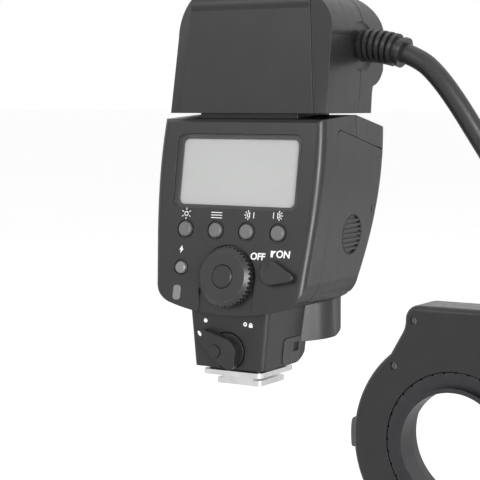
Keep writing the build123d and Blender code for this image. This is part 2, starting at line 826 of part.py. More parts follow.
def make_contact_pins():
    """Sprung contacts with round tips."""
    tip = CONTACT_RADIUS - CONTACT_STAND
    return separate(
        rod((x, y, tip), (0, 0, 1), CONTACT_RADIUS, CONTACT_LENGTH - CONTACT_RADIUS)
        + Pos(x, y, tip) * Sphere(CONTACT_RADIUS)
        for x, y in contact_places
    )


def neck_form(inset):
    """Neck tapering down to the foot, its lower front corner rounded."""
    low = neck_bottom + inset
    grow = (NECK_HEIGHT + NECK_OVERLAP) / NECK_HEIGHT
    width_high = NECK_WIDTH_LOW + (NECK_WIDTH_HIGH - NECK_WIDTH_LOW) * grow
    depth = NECK_DEPTH - 2 * inset
    corner = NECK_CORNER - inset / 2
    centre_y = -NECK_REAR + NECK_DEPTH / 2
    top = body_bottom + NECK_OVERLAP
    sections = [
        Pos(0, centre_y, neck_bottom) * RectangleRounded(NECK_WIDTH_LOW - 2 * inset, depth, corner),
        Pos(0, centre_y, top) * RectangleRounded(width_high - 2 * inset, depth, corner),
    ]
    front = -NECK_REAR + NECK_DEPTH - inset
    toe = [
        (-NECK_REAR + y * NECK_DEPTH - inset, low + z * NECK_HEIGHT) for y, z in NECK_TOE_SHARES
    ]
    rear = -NECK_REAR - OVERRUN
    high = top + OVERRUN
    profile = make_face(
        [
            Line((rear, low), toe[0]),
            ThreePointArc(*toe),
            Line(toe[2], (front, high)),
            Line((front, high), (rear, high)),
            Line((rear, high), (rear, low)),
        ]
    )
    return loft(sections) & extrude(Plane.YZ * profile, far, both=True)


def chin_form(inset):
    """Part in front of the neck that flares out under the body's belly."""
    profile = make_face(Polyline(*CHIN_PROFILE, close=True))
    for place in CHIN_PROFILE[1:3]:
        profile = fillet(profile.vertices().sort_by_distance(Vector(*place))[0], CHIN_BEND)
    if inset:
        profile = offset(profile, -inset)
    half = CHIN_WIDTH / 2
    root = NECK_WIDTH_LOW / 2
    side = [(root, CHIN_ROOT), (half, CHIN_FLARE), (half, CHIN_TOE)]
    plan = make_face(Polyline(*side, *[(-x, y) for x, y in reversed(side)], close=True))
    for (x, y), radius in ((side[1], CHIN_FLARE_RADIUS), (side[2], CHIN_CORNER)):
        for place in ((x, y), (-x, y)):
            plan = fillet(plan.vertices().sort_by_distance(Vector(*place))[0], radius)
    if inset:
        plan = offset(plan, -inset)
    return extrude(Plane.YZ * profile, far, both=True) & extrude(plan, far)


def make_neck_housing():
    """Hollow neck and chin, with the lever's recess and the connector's pocket."""
    solid = neck_form(0) + chin_form(0)
    plinth = RectangleRounded(PLINTH_WIDTH, PLINTH_LENGTH, FLANGE_CORNER)
    solid += Pos(0, flange_centre_y, flange_top) * extrude(plinth, PLINTH_HEIGHT + OVERRUN)
    solid -= neck_form(NECK_WALL) + chin_form(NECK_WALL)
    solid += rod(hub, forward, LEVER_BOSS_RADIUS, LEVER_BOSS_DEPTH) & neck_form(0)
    solid -= body_outer
    solid -= rod(hub - Vector(0, OVERRUN, 0), forward, LEVER_RECESS_RADIUS, OVERRUN + LEVER_RECESS_DEPTH)
    solid -= rod(hub, forward, LEVER_SHAFT_RADIUS + FIT, LEVER_BOSS_DEPTH + OVERRUN)
    pocket = extrude(RectangleRounded(PORT_LENGTH, PORT_HEIGHT, PORT_CORNER), PORT_THICK)
    solid -= side_plane.location * Pos(PORT_FORWARD, PORT_RISE, PORT_STAND - PORT_THICK) * pocket
    solid -= rod((0, pin_y, flange_top - OVERRUN), (0, 0, 1), LOCK_PIN_RADIUS + FIT, NECK_HEIGHT / 2)
    for x, y in foot_screw_places:
        solid -= rod(
            (x, y, foot_screw_seat),
            (0, 0, 1),
            FOOT_SCREW_RADIUS + SCREW_PLAY,
            FOOT_SCREW_LENGTH + SCREW_PLAY,
        )
    for x, y, z in body_posts[1:]:
        solid -= rod((x, y, z), forward, BODY_SCREW_HEAD + SCREW_PLAY, CHIN_TOE)
    return solid.solids().sort_by(SortBy.VOLUME)[-1]


def make_port_insert():
    """Connector cover on the neck's side, with its small square hole."""
    plate = extrude(RectangleRounded(PORT_LENGTH, PORT_HEIGHT, PORT_CORNER), PORT_THICK)
    insert = Pos(PORT_FORWARD, PORT_RISE, PORT_STAND - PORT_THICK) * plate
    hole = Box(PORT_HOLE_WIDTH, PORT_HOLE_HEIGHT, 2 * PORT_HOLE_DEPTH)
    insert -= Pos(PORT_HOLE_FORWARD, PORT_HOLE_RISE, PORT_STAND) * hole
    return side_plane.location * insert


def lever_place(angle, reach):
    """Point on the lever, seen from behind with X to the right."""
    turn = math.radians(angle)
    return (reach * math.cos(turn), reach * math.sin(turn))


def make_lock_lever():
    """Two-ended thumb lever on the neck's rear face."""
    tip = lever_place(LEVER_ANGLE, LEVER_REACH - LEVER_TIP_RADIUS)
    tail = lever_place(LEVER_TAIL_ANGLE, LEVER_TAIL_REACH - LEVER_TAIL_RADIUS)
    outline = teardrop((0, 0), LEVER_ROOT_RADIUS, tip, LEVER_TIP_RADIUS)
    outline += teardrop((0, 0), LEVER_ROOT_RADIUS - SEAM_GAP, tail, LEVER_TAIL_RADIUS)
    rear_view = Plane(origin=hub - Vector(0, SEAM_GAP, 0), x_dir=(1, 0, 0), z_dir=backward)
    lever = rear_view.location * extrude(outline, LEVER_THICK)
    well = rear_view.location * Pos(RELEASE_OFFSET_X, RELEASE_OFFSET_Z, LEVER_THICK - RELEASE_WELL)
    return lever - well * Cylinder(RELEASE_RADIUS + FIT, RELEASE_WELL + OVERRUN, align=MIN3)


def make_lock_lever_hub():
    """Disc in the recess, with the shaft and crank that work the locking pin."""
    disc_start = hub + Vector(0, LEVER_RECESS_DEPTH - SEAM_GAP, 0)
    shape = rod(disc_start, backward, LEVER_HUB_RADIUS, LEVER_RECESS_DEPTH)
    crank_y = LEVER_BOSS_DEPTH + SEAM_GAP
    shape += rod(
        disc_start, forward, LEVER_SHAFT_RADIUS, crank_y + CRANK_THICK - LEVER_RECESS_DEPTH + SEAM_GAP
    )
    shape += rod(hub + Vector(0, crank_y, 0), forward, CRANK_RADIUS, CRANK_THICK)
    pin_start = Vector(crank_x, -NECK_REAR + crank_y + CRANK_THICK, crank_z)
    return shape + rod(pin_start, forward, CRANK_PIN_RADIUS, CRANK_PIN_LENGTH)


def make_lock_release_button():
    start = hub + Vector(RELEASE_OFFSET_X, -SEAM_GAP - LEVER_THICK - RELEASE_STAND, RELEASE_OFFSET_Z)
    return rod(start, forward, RELEASE_RADIUS, RELEASE_LENGTH)


def make_lock_pin():
    """Locking pin with the slotted link that the crank moves."""
    top = LOCK_PIN_LIFT + LOCK_PIN_LENGTH
    shape = rod((0, pin_y, LOCK_PIN_LIFT), (0, 0, 1), LOCK_PIN_RADIUS, LOCK_PIN_LENGTH)
    rear = -NECK_REAR + LINK_PLATE_REAR
    half = LINK_WIDTH / 2
    shape += block((-half, half), (rear, pin_y + LOCK_PIN_RADIUS), (top - LINK_THICK, top))
    plate = (crank_x - LINK_PLATE_WIDTH / 2, crank_x + LINK_PLATE_WIDTH / 2)
    thick = (rear, rear + LINK_PLATE_THICK)
    shape += block(plate, thick, (top - LINK_THICK, top - LINK_THICK + LINK_PLATE_HEIGHT))
    slot_half = LINK_SLOT_WIDTH / 2
    tall = CRANK_PIN_RADIUS + LINK_SLOT_PLAY
    slot = (crank_x - slot_half + LINK_SLOT_PLAY, crank_x + slot_half + LINK_SLOT_PLAY)
    return shape - block(
        slot, (rear - OVERRUN, rear + LINK_PLATE_THICK + OVERRUN), (crank_z - tall, crank_z + tall)
    )


def hinge_rod(low, high, radius):
    """Round bar about the battery door's hinge axis."""
    start = (panel.location * Pos(hinge_x, low, hinge_out)).position
    return rod(start, panel_up, radius, high - low)


def door_edge(gap, clearance):
    """The door's front edge, turned about the hinge axis so that it can swing in its opening."""
    edge = hinge_rod(-BODY_HEIGHT, 2 * BODY_HEIGHT, DOOR_EDGE_RADIUS + gap)
    return edge & door_region(clearance, DOOR_EDGE_RADIUS)


def body_shell(ahead):
    """One half of the body's hollow housing, with its screw posts and the groove at the seam."""
    shell = (body_outer - body_inner) & half_space_y(BODY_SEAM, ahead)
    posts = []
    for place in body_posts:
        direction = forward if ahead else backward
        reach = BODY_DEPTH if ahead else BODY_POST_REAR
        posts.append(rod(place, direction, BODY_POST_RADIUS, reach))
    if ahead:
        for inset in (POWER_POST_INSET, POWER_BOARD_SIDE - POWER_POST_INSET):
            x = CAPACITOR_X - POWER_BOARD_SIDE / 2 + inset
            back = CAPACITOR_DEPTH + CAPACITOR_RADIUS + POWER_BOARD_THICK
            posts.append(panel_rod(x, POWER_POST_RISE, -BODY_DEPTH - OVERRUN, -back, POWER_POST_RADIUS))
        guide_low = HINGE_LOW - HINGE_EAR - DOOR_TRAVEL
        rise = (guide_low, guide_low + GUIDE_LENGTH)
        inner = slider_x - GUIDE_GAP
        outer = slider_x + SLIDER_THICK + GUIDE_GAP
        edge = door_inner_x - 2 * SEAM_GAP
        posts.append(panel_block((inner - GUIDE_THICK, inner), rise, (-BODY_DEPTH, -SLIDER_REAR)))
        posts.append(panel_block((outer, edge), rise, (-BODY_DEPTH, -GUIDE_LIP)))
    for post in posts:
        shell += post & body_outer
    for x, y, z in body_posts:
        seat = (x, y + BODY_SCREW_SEAT, z)
        shell = drilled(
            shell, seat, backward, BODY_SCREW_RADIUS, BODY_SCREW_LENGTH, BODY_SCREW_HEAD, BODY_DEPTH
        )
    groove_half = SEAM_GROOVE_WIDTH / 2
    shell -= body_skin & block((-far, far), (BODY_SEAM - groove_half, BODY_SEAM + groove_half), (0, far))
    shell -= door_region(SEAM_GAP)
    shell -= door_edge(SEAM_GAP, 2 * SEAM_GAP)
    return shell.solids().sort_by(SortBy.VOLUME)[-1]


def make_front_body_shell():
    return body_shell(True)


def make_rear_body_shell():
    """Rear half, with every opening of the sloping control panel."""
    shell = body_shell(False)
    for x, rise in board_places:
        shell += panel_rod(x, rise, -BOARD_DEPTH, -SURFACE_SINK, BOARD_POST_RADIUS) & body_outer
        shell -= panel_rod(x, rise, -BOARD_DEPTH - OVERRUN, -BODY_WALL, BOARD_SCREW_RADIUS + SCREW_PLAY)
    pocket = WINDOW_SINK + WINDOW_THICK
    shell -= panel_plate(0, WINDOW_RISE, -pocket, OVERRUN, WINDOW_WIDTH, WINDOW_HEIGHT, WINDOW_CORNER)
    shell -= panel_plate(
        0, WINDOW_RISE, -BODY_WALL - OVERRUN, 0, DISPLAY_WIDTH, DISPLAY_HEIGHT, DISPLAY_CORNER
    )
    round_holes = [(x, rise, BUTTON_RADIUS) for x, rise in button_places]
    round_holes.append((PILOT_X, PILOT_RISE, PILOT_RADIUS))
    for x, rise, radius in round_holes:
        shell -= panel_rod(x, rise, -BODY_WALL - OVERRUN, OVERRUN, radius + BUTTON_PLAY)
        shell -= panel_rod(x, rise, -BUTTON_RING_DEPTH, OVERRUN, radius + BUTTON_PLAY + BUTTON_RING_WIDTH)
    shell -= panel_plate(
        READY_X, READY_RISE, READY_STAND - READY_THICK, OVERRUN, READY_WIDTH, READY_HEIGHT, READY_CORNER
    )
    half = CHANNEL_WIDTH / 2
    shell -= panel_rod(0, DIAL_RISE, -DIAL_RECESS_DEPTH, OVERRUN, DIAL_RADIUS + DIAL_RECESS_PLAY)
    shell -= panel_block((-half, half), (-NECK_WALL, DIAL_RISE), (-DIAL_RECESS_DEPTH, OVERRUN))
    shell -= panel_rod(0, DIAL_RISE, -BODY_WALL - OVERRUN, 0, DIAL_SHAFT_RADIUS + SEAM_GAP)
    shell -= panel_rod(POWER_X, POWER_RISE, -BODY_WALL - OVERRUN, OVERRUN, POWER_SHAFT_RADIUS + FIT)
    return shell.solids().sort_by(SortBy.VOLUME)[-1]


def make_lcd_window():
    return panel_plate(
        0,
        WINDOW_RISE,
        -WINDOW_SINK - WINDOW_THICK,
        -WINDOW_SINK,
        WINDOW_WIDTH,
        WINDOW_HEIGHT,
        WINDOW_CORNER,
    )


def make_lcd_panel():
    """Display glass with its light guide behind it."""
    high = -BODY_WALL - LCD_GAP
    low = high - LCD_THICK
    glass = panel_plate(0, WINDOW_RISE, low, high, LCD_WIDTH, LCD_HEIGHT, READY_CORNER)
    return glass + panel_plate(
        0, WINDOW_RISE, -BOARD_DEPTH, low, LCD_LIGHT_WIDTH, LCD_LIGHT_HEIGHT, READY_CORNER
    )


def make_control_board():
    board = panel_plate(0, BOARD_RISE, board_back, -BOARD_DEPTH, BOARD_WIDTH, BOARD_HEIGHT, BOARD_CORNER)
    board &= body_inner
    for x, rise in board_places:
        board -= panel_rod(x, rise, board_back - OVERRUN, 0, BOARD_SCREW_RADIUS + SCREW_PLAY)
    return board


def make_board_screws():
    return separate(
        screw(
            (panel.location * Pos(x, rise, board_back)).position,
            tuple(panel_out),
            BOARD_SCREW_RADIUS,
            BOARD_SCREW_LENGTH,
            BOARD_SCREW_HEAD,
            BOARD_SCREW_HEAD_HEIGHT,
        )
        for x, rise in board_places
    )


def make_button(x, rise, radius):
    """Push button with a domed face, a flange behind the wall and a stem to its switch."""
    face = BUTTON_STAND - BUTTON_DOME_HEIGHT
    back = -BODY_WALL - BUTTON_FLANGE_GAP
    shape = panel_rod(x, rise, back - BUTTON_FLANGE_THICK, face, radius)
    shape += on_panel(x, rise, face) * Cone(
        radius, radius - BUTTON_DOME_HEIGHT, BUTTON_DOME_HEIGHT, align=MIN3
    )
    shape += panel_rod(x, rise, back - BUTTON_FLANGE_THICK, back, radius + BUTTON_FLANGE)
    return shape + panel_rod(x, rise, -BUTTON_STEM_DEPTH, back, BUTTON_STEM_RADIUS)


def make_pilot_button():
    return make_button(PILOT_X, PILOT_RISE, PILOT_RADIUS)


def make_ready_lamp_window():
    return panel_plate(
        READY_X, READY_RISE, READY_STAND - READY_THICK, READY_STAND, READY_WIDTH, READY_HEIGHT, READY_CORNER
    )


def make_keypad_switches():
    """Tactile switches on the board, one under each button."""
    places = button_places + [(PILOT_X, PILOT_RISE)]
    half = SWITCH_SIDE / 2
    return separate(
        panel_block(
            (x - half, x + half), (rise - half, rise + half), (-BOARD_DEPTH, SWITCH_HEIGHT - BOARD_DEPTH)
        )
        for x, rise in places
    )


def make_control_dial():
    """Knurled dial on a hollow hub that passes through the panel."""
    top = dial_floor + DIAL_HEIGHT
    shape = panel_rod(0, DIAL_RISE, dial_floor, top - DIAL_BEVEL, DIAL_RADIUS)
    shape += on_panel(0, DIAL_RISE, top - DIAL_BEVEL) * Cone(
        DIAL_RADIUS, DIAL_FACE_RADIUS, DIAL_BEVEL, align=MIN3
    )
    notch = Cylinder(DIAL_TOOTH_RADIUS, DIAL_HEIGHT + 2 * OVERRUN, align=MIN3)
    notches = PolarLocations(DIAL_RADIUS, DIAL_TEETH)
    cutters = [place * notch for place in notches]
    shape -= on_panel(0, DIAL_RISE, dial_floor - OVERRUN) * Compound(
        children=[c for n in cutters for c in n.solids()]
    )
    shape += panel_rod(0, DIAL_RISE, dial_floor - DIAL_HUB_LENGTH, dial_floor, DIAL_SHAFT_RADIUS)
    return shape - panel_rod(0, DIAL_RISE, -BOARD_DEPTH, top + OVERRUN, DIAL_BORE_RADIUS)


def make_set_button():
    """Button in the middle of the dial, on a stem down to the encoder."""
    top = dial_floor + DIAL_HEIGHT + SET_STAND
    face = top - BUTTON_DOME_HEIGHT
    shape = panel_rod(0, DIAL_RISE, top - SET_THICK, face, SET_RADIUS)
    shape += on_panel(0, DIAL_RISE, face) * Cone(
        SET_RADIUS, SET_RADIUS - BUTTON_DOME_HEIGHT, BUTTON_DOME_HEIGHT, align=MIN3
    )
    return shape + panel_rod(0, DIAL_RISE, -SET_STEM_DEPTH, top - SET_THICK, SET_STEM_RADIUS)


def make_dial_encoder():
    """Encoder on the board, its sleeve the journal of the dial's hub."""
    half = ENCODER_SIDE / 2
    high = -BOARD_DEPTH + ENCODER_HEIGHT
    rise = (DIAL_RISE - half, DIAL_RISE + half)
    shape = panel_block((-half, half), rise, (-BOARD_DEPTH, high))
    shape += panel_rod(0, DIAL_RISE, high, -ENCODER_SLEEVE_HIGH, ENCODER_SLEEVE_RADIUS)
    return shape - panel_rod(0, DIAL_RISE, high, 0, ENCODER_SLEEVE_BORE)


def make_power_lever():
    """Teardrop lever with a pointer groove, on a shaft through the panel."""
    turn = math.radians(POWER_ANGLE)
    reach = POWER_REACH - POWER_TIP_RADIUS
    tip = (reach * math.cos(turn), reach * math.sin(turn))
    outline = teardrop((0, 0), POWER_RADIUS, tip, POWER_TIP_RADIUS)
    plate = extrude(outline, POWER_THICK)
    plate = chamfer(plate.edges().group_by(Axis.Z)[-1], SURFACE_SINK / 2)
    shape = on_panel(POWER_X, POWER_RISE, POWER_FLOOR_GAP) * plate
    return shape + panel_rod(
        POWER_X, POWER_RISE, POWER_FLOOR_GAP - POWER_SHAFT_LENGTH, POWER_FLOOR_GAP, POWER_SHAFT_RADIUS
    )


def make_power_switch():
    half = POWER_SWITCH_SIDE / 2
    high = -BOARD_DEPTH + POWER_SWITCH_HEIGHT
    return panel_block(
        (POWER_X - half, POWER_X + half), (POWER_RISE - half, POWER_RISE + half), (-BOARD_DEPTH, high)
    )


def ear_spans():
    """Lower and upper ear of the hinge, as spans along the slope."""
    return (
        (HINGE_LOW - HINGE_GAP - HINGE_EAR, HINGE_LOW - HINGE_GAP),
        (HINGE_HIGH + HINGE_GAP, HINGE_HIGH + HINGE_GAP + HINGE_EAR),
    )


def make_battery_door():
    """Door cut from the body's wall, with its hinge barrel and ribbed thumb grip."""
    door = (body_outer - body_inner) & (door_region(0) + door_edge(0, 0))
    for low, high in ear_spans():
        span = (low - HINGE_GAP, high + HINGE_GAP)
        door -= panel_block((0, far), span, (-BODY_DEPTH, hinge_out + HINGE_NOTCH))
    door += hinge_rod(HINGE_LOW, HINGE_HIGH, HINGE_RADIUS)
    door -= hinge_rod(HINGE_LOW - OVERRUN, HINGE_HIGH + OVERRUN, HINGE_PIN_RADIUS + FIT)
    grip_z = body_bottom + GRIP_RISE * math.cos(lean)
    grip = rod((door_inner_x, rear_y(grip_z) + GRIP_FORWARD, grip_z), (1, 0, 0), GRIP_RADIUS, BODY_WIDTH)
    for i in range(GRIP_RIB_COUNT):
        z = grip_z + (i - (GRIP_RIB_COUNT - 1) / 2) * GRIP_RIB_PITCH
        grip -= block((0, far), (-far, far), (z - GRIP_RIB_WIDTH / 2, z + GRIP_RIB_WIDTH / 2))
    door -= grip & body_skin
    return door.solids().sort_by(SortBy.VOLUME)[-1]


def make_door_hinge_pin():
    spans = ear_spans()
    return hinge_rod(spans[0][0], spans[1][1], HINGE_PIN_RADIUS)


def make_door_slider():
    """Sliding plate inside the body, with two ears that hold the hinge pin."""
    spans = ear_spans()
    plate_x = (slider_x, slider_x + SLIDER_THICK)
    slider = panel_block(plate_x, (spans[0][0], spans[1][1]), (-SLIDER_FRONT, -SLIDER_REAR))
    for span in spans:
        slider += hinge_rod(*span, HINGE_RADIUS)
        web = (hinge_out - SLIDER_WEB / 2, hinge_out + SLIDER_WEB / 2)
        slider += panel_block((slider_x, hinge_x), span, web)
        slider -= hinge_rod(*span, HINGE_PIN_RADIUS)
    return slider


def make_battery_tray():
    """Cell compartment, open to the side behind the door."""
    rise = (CELL_LOW - CONTACT_PLATE_THICK, cell_top + CONTACT_PLATE_THICK)
    x_low = CELL_FIRST_X - cell_reach
    out = (-(CELL_FIRST_DEPTH + CELL_PITCH) - cell_reach, -CELL_FIRST_DEPTH + cell_reach)
    edge = door_inner_x - SEAM_GAP
    tray = panel_block(
        (x_low - TRAY_WALL, edge),
        (rise[0] - TRAY_WALL, rise[1] + TRAY_WALL),
        (out[0] - TRAY_WALL, out[1] + TRAY_WALL),
    )
    tray -= panel_block((x_low, edge + OVERRUN), rise, out)
    return (tray & body_inner).solids().sort_by(SortBy.VOLUME)[-1]


def make_battery_cells():
    """Four round cells, neighbours turned end for end."""
    cells = []
    for x, out, flipped in cell_places:
        low = CELL_LOW + (CELL_NUB_HEIGHT if flipped else 0)
        start = (panel.location * Pos(x, low, out)).position
        nub = (panel.location * Pos(x, CELL_LOW if flipped else low + CELL_LENGTH, out)).position
        cell = rod(start, panel_up, CELL_RADIUS, CELL_LENGTH)
        cells.append(cell + rod(nub, panel_up, CELL_NUB_RADIUS, CELL_NUB_HEIGHT))
    return separate(cells)


def make_battery_contacts():
    half = CONTACT_PLATE_WIDTH / 2
    pieces = []
    for x, out, _ in cell_places:
        for low in (CELL_LOW - CONTACT_PLATE_THICK, cell_top):
            pieces.append(
                panel_block(
                    (x - half, x + half), (low, low + CONTACT_PLATE_THICK), (out - half, out + half)
                )
                & body_inner
            )
    return separate(pieces)


def make_main_capacitor():
    """Flash capacitor with a beaded rim."""
    start = (panel.location * Pos(CAPACITOR_X, CAPACITOR_LOW, -CAPACITOR_DEPTH)).position
    can = rod(start, panel_up, CAPACITOR_RADIUS, CAPACITOR_LENGTH)
    bead_low = start + panel_up * (CAPACITOR_LENGTH - CAPACITOR_BEAD_DROP)
    ring = rod(bead_low, panel_up, CAPACITOR_RADIUS + OVERRUN, CAPACITOR_BEAD)
    return can - (ring - rod(bead_low, panel_up, CAPACITOR_RADIUS - CAPACITOR_BEAD, CAPACITOR_BEAD))


def make_power_board():
    half = POWER_BOARD_SIDE / 2
    back = -(CAPACITOR_DEPTH + CAPACITOR_RADIUS)
    rise = (CAPACITOR_LOW, CAPACITOR_LOW + CAPACITOR_LENGTH)
    return panel_block((CAPACITOR_X - half, CAPACITOR_X + half), rise, (back - POWER_BOARD_THICK, back))


def make_charging_transformer():
    """Wound core between two flanges on the power board."""
    back = -(CAPACITOR_DEPTH + CAPACITOR_RADIUS + POWER_BOARD_THICK)
    rise = CAPACITOR_LOW + CAPACITOR_LENGTH / 2
    half = TRANSFORMER_SIDE / 2
    x = (CAPACITOR_X - half, CAPACITOR_X + half)
    span = (rise - half, rise + half)
    low = back - TRANSFORMER_HEIGHT
    shape = panel_block(x, span, (back - TRANSFORMER_FLANGE, back))
    shape += panel_block(x, span, (low, low + TRANSFORMER_FLANGE))
    return shape + panel_rod(CAPACITOR_X, rise, low, back, TRANSFORMER_CORE)


def make_body_screws():
    pieces = []
    for x, y, z in body_posts + head_posts:
        pieces.append(
            screw(
                (x, y + BODY_SCREW_SEAT, z),
                backward,
                BODY_SCREW_RADIUS,
                BODY_SCREW_LENGTH,
                BODY_SCREW_HEAD,
                BODY_SCREW_HEAD_HEIGHT,
            )
        )
    return separate(pieces)


def head_place(share):
    """Side-view point from a share of the head's depth and height."""
    return (-HEAD_REAR + share[0] * HEAD_DEPTH, head_bottom + share[1] * HEAD_HEIGHT)


def head_form(inset):
    """The head's form: its rear-view outline crossed with its side-view profile."""
    half = HEAD_WIDTH / 2
    top = head_bottom + HEAD_HEIGHT
    side = (HEAD_SIDE_SHARES[0] * half, head_bottom + HEAD_SIDE_SHARES[1] * HEAD_HEIGHT)
    knee, crown = ((x * half, head_bottom + z * HEAD_HEIGHT) for x, z in HEAD_SHOULDER_SHARES)
    outline = make_face(
        [
            Line((-half, head_bottom), (half, head_bottom)),
            Line((half, head_bottom), side),
            ThreePointArc(side, knee, crown),
            Line(crown, (-crown[0], top)),
            ThreePointArc((-crown[0], top), (-knee[0], knee[1]), (-side[0], side[1])),
            Line((-side[0], side[1]), (-half, head_bottom)),
        ]
    )
    tops = [head_place(share) for share in HEAD_TOP_SHARES]
    nose = [head_place(share) for share in HEAD_NOSE_TOP_SHARES]
    under = [head_place(share) for share in HEAD_NOSE_LOW_SHARES]
    cheek = head_place(HEAD_CHEEK_SHARE)
    rear = head_place((0, 0))
    front = head_place((1, 0))
    profile = make_face(
        [
            Line(rear, tops[0]),
            ThreePointArc(*tops),
            Line(tops[2], nose[0]),
            ThreePointArc(*nose),
            Line(nose[2], under[0]),
            ThreePointArc(*under),
            Line(under[2], cheek),
            Line(cheek, front),
            Line(front, rear),
        ]
    )
    if inset:
        outline = offset(outline, -inset)
        profile = offset(profile, -inset)
    form = extrude(Plane.XZ * outline, far, both=True) & extrude(Plane.YZ * profile, far, both=True)
    for side_sign in (-1, 1):
        form -= bevel(side_sign, inset)
    return form


def bevel(side, inset):
    """Wedge cut from a rear corner of the head, leaving the middle panel proud."""
    faces = []
    levels = (
        (head_bottom - OVERRUN, BEVEL_LOW_X, BEVEL_LOW_FALL),
        (head_bottom + HEAD_HEIGHT + OVERRUN, BEVEL_HIGH_X, BEVEL_HIGH_FALL),
    )
    for z, x, fall in levels:
        rear = -HEAD_REAR + (z - head_bottom) * math.tan(math.radians(HEAD_LEAN))
        step = rear + BEVEL_STEP + inset
        edge = x - inset
        outer = HEAD_WIDTH / 2 + OVERRUN
        corners = (
            (edge, rear - HEAD_DEPTH), (edge, step), (outer, step + fall), (outer, rear - HEAD_DEPTH)
        )
        faces.append(
            Pos(0, 0, z) * make_face(Polyline(*((side * px, py) for px, py in corners), close=True))
        )
    return loft(faces, ruled=True)


def head_half(ahead, seam_half=0.0):
    """Everything on one side of the head's leaning seam."""
    turn = math.radians(HEAD_SEAM_LEAN)
    normal = Vector(0, math.cos(turn), -math.sin(turn))
    origin = Vector(0, HEAD_SEAM, head_bottom) + normal * (seam_half if not ahead else -seam_half)
    place = Plane(origin=origin, x_dir=(1, 0, 0), z_dir=normal if ahead else normal * -1)
    return place.location * Box(far, far, far, align=MIN3)


head_outer = head_form(0)
head_inner = head_form(HEAD_WALL)
relief_start = Vector(
    HEAD_WIDTH / 2,
    HEAD_SEAM + RELIEF_RISE * math.tan(math.radians(HEAD_SEAM_LEAN)),
    head_bottom + RELIEF_RISE,
)
ring_relief_start = Vector(GLAND_REACH, RING_FORWARD + RING_SPLIT, -RING_DROP + GLAND_RISE)


def head_shell(ahead):
    """One half of the head's housing."""
    shell = (head_outer - head_inner) & head_half(ahead)
    for place in head_posts:
        reach = HEAD_DEPTH if ahead else BODY_POST_REAR
        post = rod(place, forward if ahead else backward, HEAD_POST_RADIUS, reach)
        shell += post & head_outer & head_half(ahead)
    for x, y, z in head_posts:
        seat = (x, y + BODY_SCREW_SEAT, z)
        shell = drilled(
            shell, seat, backward, BODY_SCREW_RADIUS, BODY_SCREW_LENGTH, BODY_SCREW_HEAD, HEAD_DEPTH
        )
    groove_half = SEAM_GROOVE_WIDTH / 2
    band = head_half(True, groove_half) & head_half(False, groove_half)
    shell -= (head_outer - head_form(SURFACE_SINK)) & band
    shell -= rod(
        relief_start - Vector(HEAD_WALL + OVERRUN, 0, 0),
        (1, 0, 0),
        RELIEF_CORE_RADIUS,
        HEAD_WALL + 2 * OVERRUN,
    )
    dish = relief_start - Vector(RELIEF_DISH_DEPTH, 0, 0)
    shell -= cone(
        dish, (1, 0, 0), RELIEF_DISH_RADIUS - RELIEF_DISH_DEPTH, RELIEF_DISH_RADIUS, RELIEF_DISH_DEPTH
    )
    return shell.solids().sort_by(SortBy.VOLUME)[-1]


def make_head_rear_shell():
    return head_shell(False)


def make_head_front_shell():
    return head_shell(True)


def make_head_collar():
    """Low collar that joins the head to the body's gabled top."""
    rear = -HEAD_REAR + COLLAR_BACK
    half = COLLAR_WIDTH / 2
    height = (body_top - HEAD_GAP, head_bottom)
    return block((-half, half), (rear, rear + COLLAR_LENGTH), height) - body_outer


def make_head_board():
    """Driver board behind the label panel."""
    turn = math.radians(HEAD_LEAN)
    place = Plane(
        origin=(0, -HEAD_REAR, head_bottom), x_dir=(1, 0, 0), z_dir=(0, -math.cos(turn), math.sin(turn))
    )
    middle = HEAD_BOARD_RISE + HEAD_BOARD_HEIGHT / 2
    board = Box(HEAD_BOARD_WIDTH, HEAD_BOARD_HEIGHT, HEAD_BOARD_THICK)
    shape = place.location * Pos(0, middle, -HEAD_BOARD_DEPTH) * board
    legs = HEAD_BOARD_DEPTH - HEAD_WALL - HEAD_BOARD_THICK / 2
    leg_x = HEAD_BOARD_WIDTH / 2 - POWER_POST_INSET
    for x in (-leg_x, leg_x):
        leg = Pos(x, middle, -HEAD_WALL - legs) * Cylinder(POWER_POST_RADIUS, legs, align=MIN3)
        shape += place.location * leg
    return shape & head_inner


def relief_turn():
    """Bend angle and radius of a strain relief's axis."""
    angle = math.radians(RELIEF_BEND)
    return angle, RELIEF_LENGTH / angle


def relief_place(start, share):
    """Point and direction on a strain relief's bent axis."""
    angle, radius = relief_turn()
    turn = share * angle
    point = start + Vector(radius * math.sin(turn), 0, -radius * (1 - math.cos(turn)))
    return point, Vector(math.cos(turn), 0, -math.sin(turn))


def make_relief(start):
    """Bent, ribbed strain relief with its root in the housing's wall."""
    middle = relief_place(start, 1 / 2)[0]
    end, end_direction = relief_place(start, 1)
    path = ThreePointArc(start, middle, end)
    shape = sweep(Plane(origin=start, z_dir=(1, 0, 0)) * Circle(RELIEF_CORE_RADIUS), path)
    pitch = RELIEF_LENGTH / (RELIEF_RIBS + 1)
    thick = pitch * RELIEF_RIB_SHARE
    for i in range(RELIEF_RIBS):
        point, direction = relief_place(start, i / (RELIEF_RIBS + 1))
        shape += rod(point, direction, RELIEF_RADIUS, thick)
    shape += rod(end - end_direction * thick, end_direction, RELIEF_COLLAR_RADIUS, thick)
    shape += rod(start - Vector(RELIEF_ROOT, 0, 0), (1, 0, 0), RELIEF_CORE_RADIUS, RELIEF_ROOT)
    return shape


def make_head_strain_relief():
    return make_relief(relief_start)


def make_ring_strain_relief():
    return make_relief(ring_relief_start)


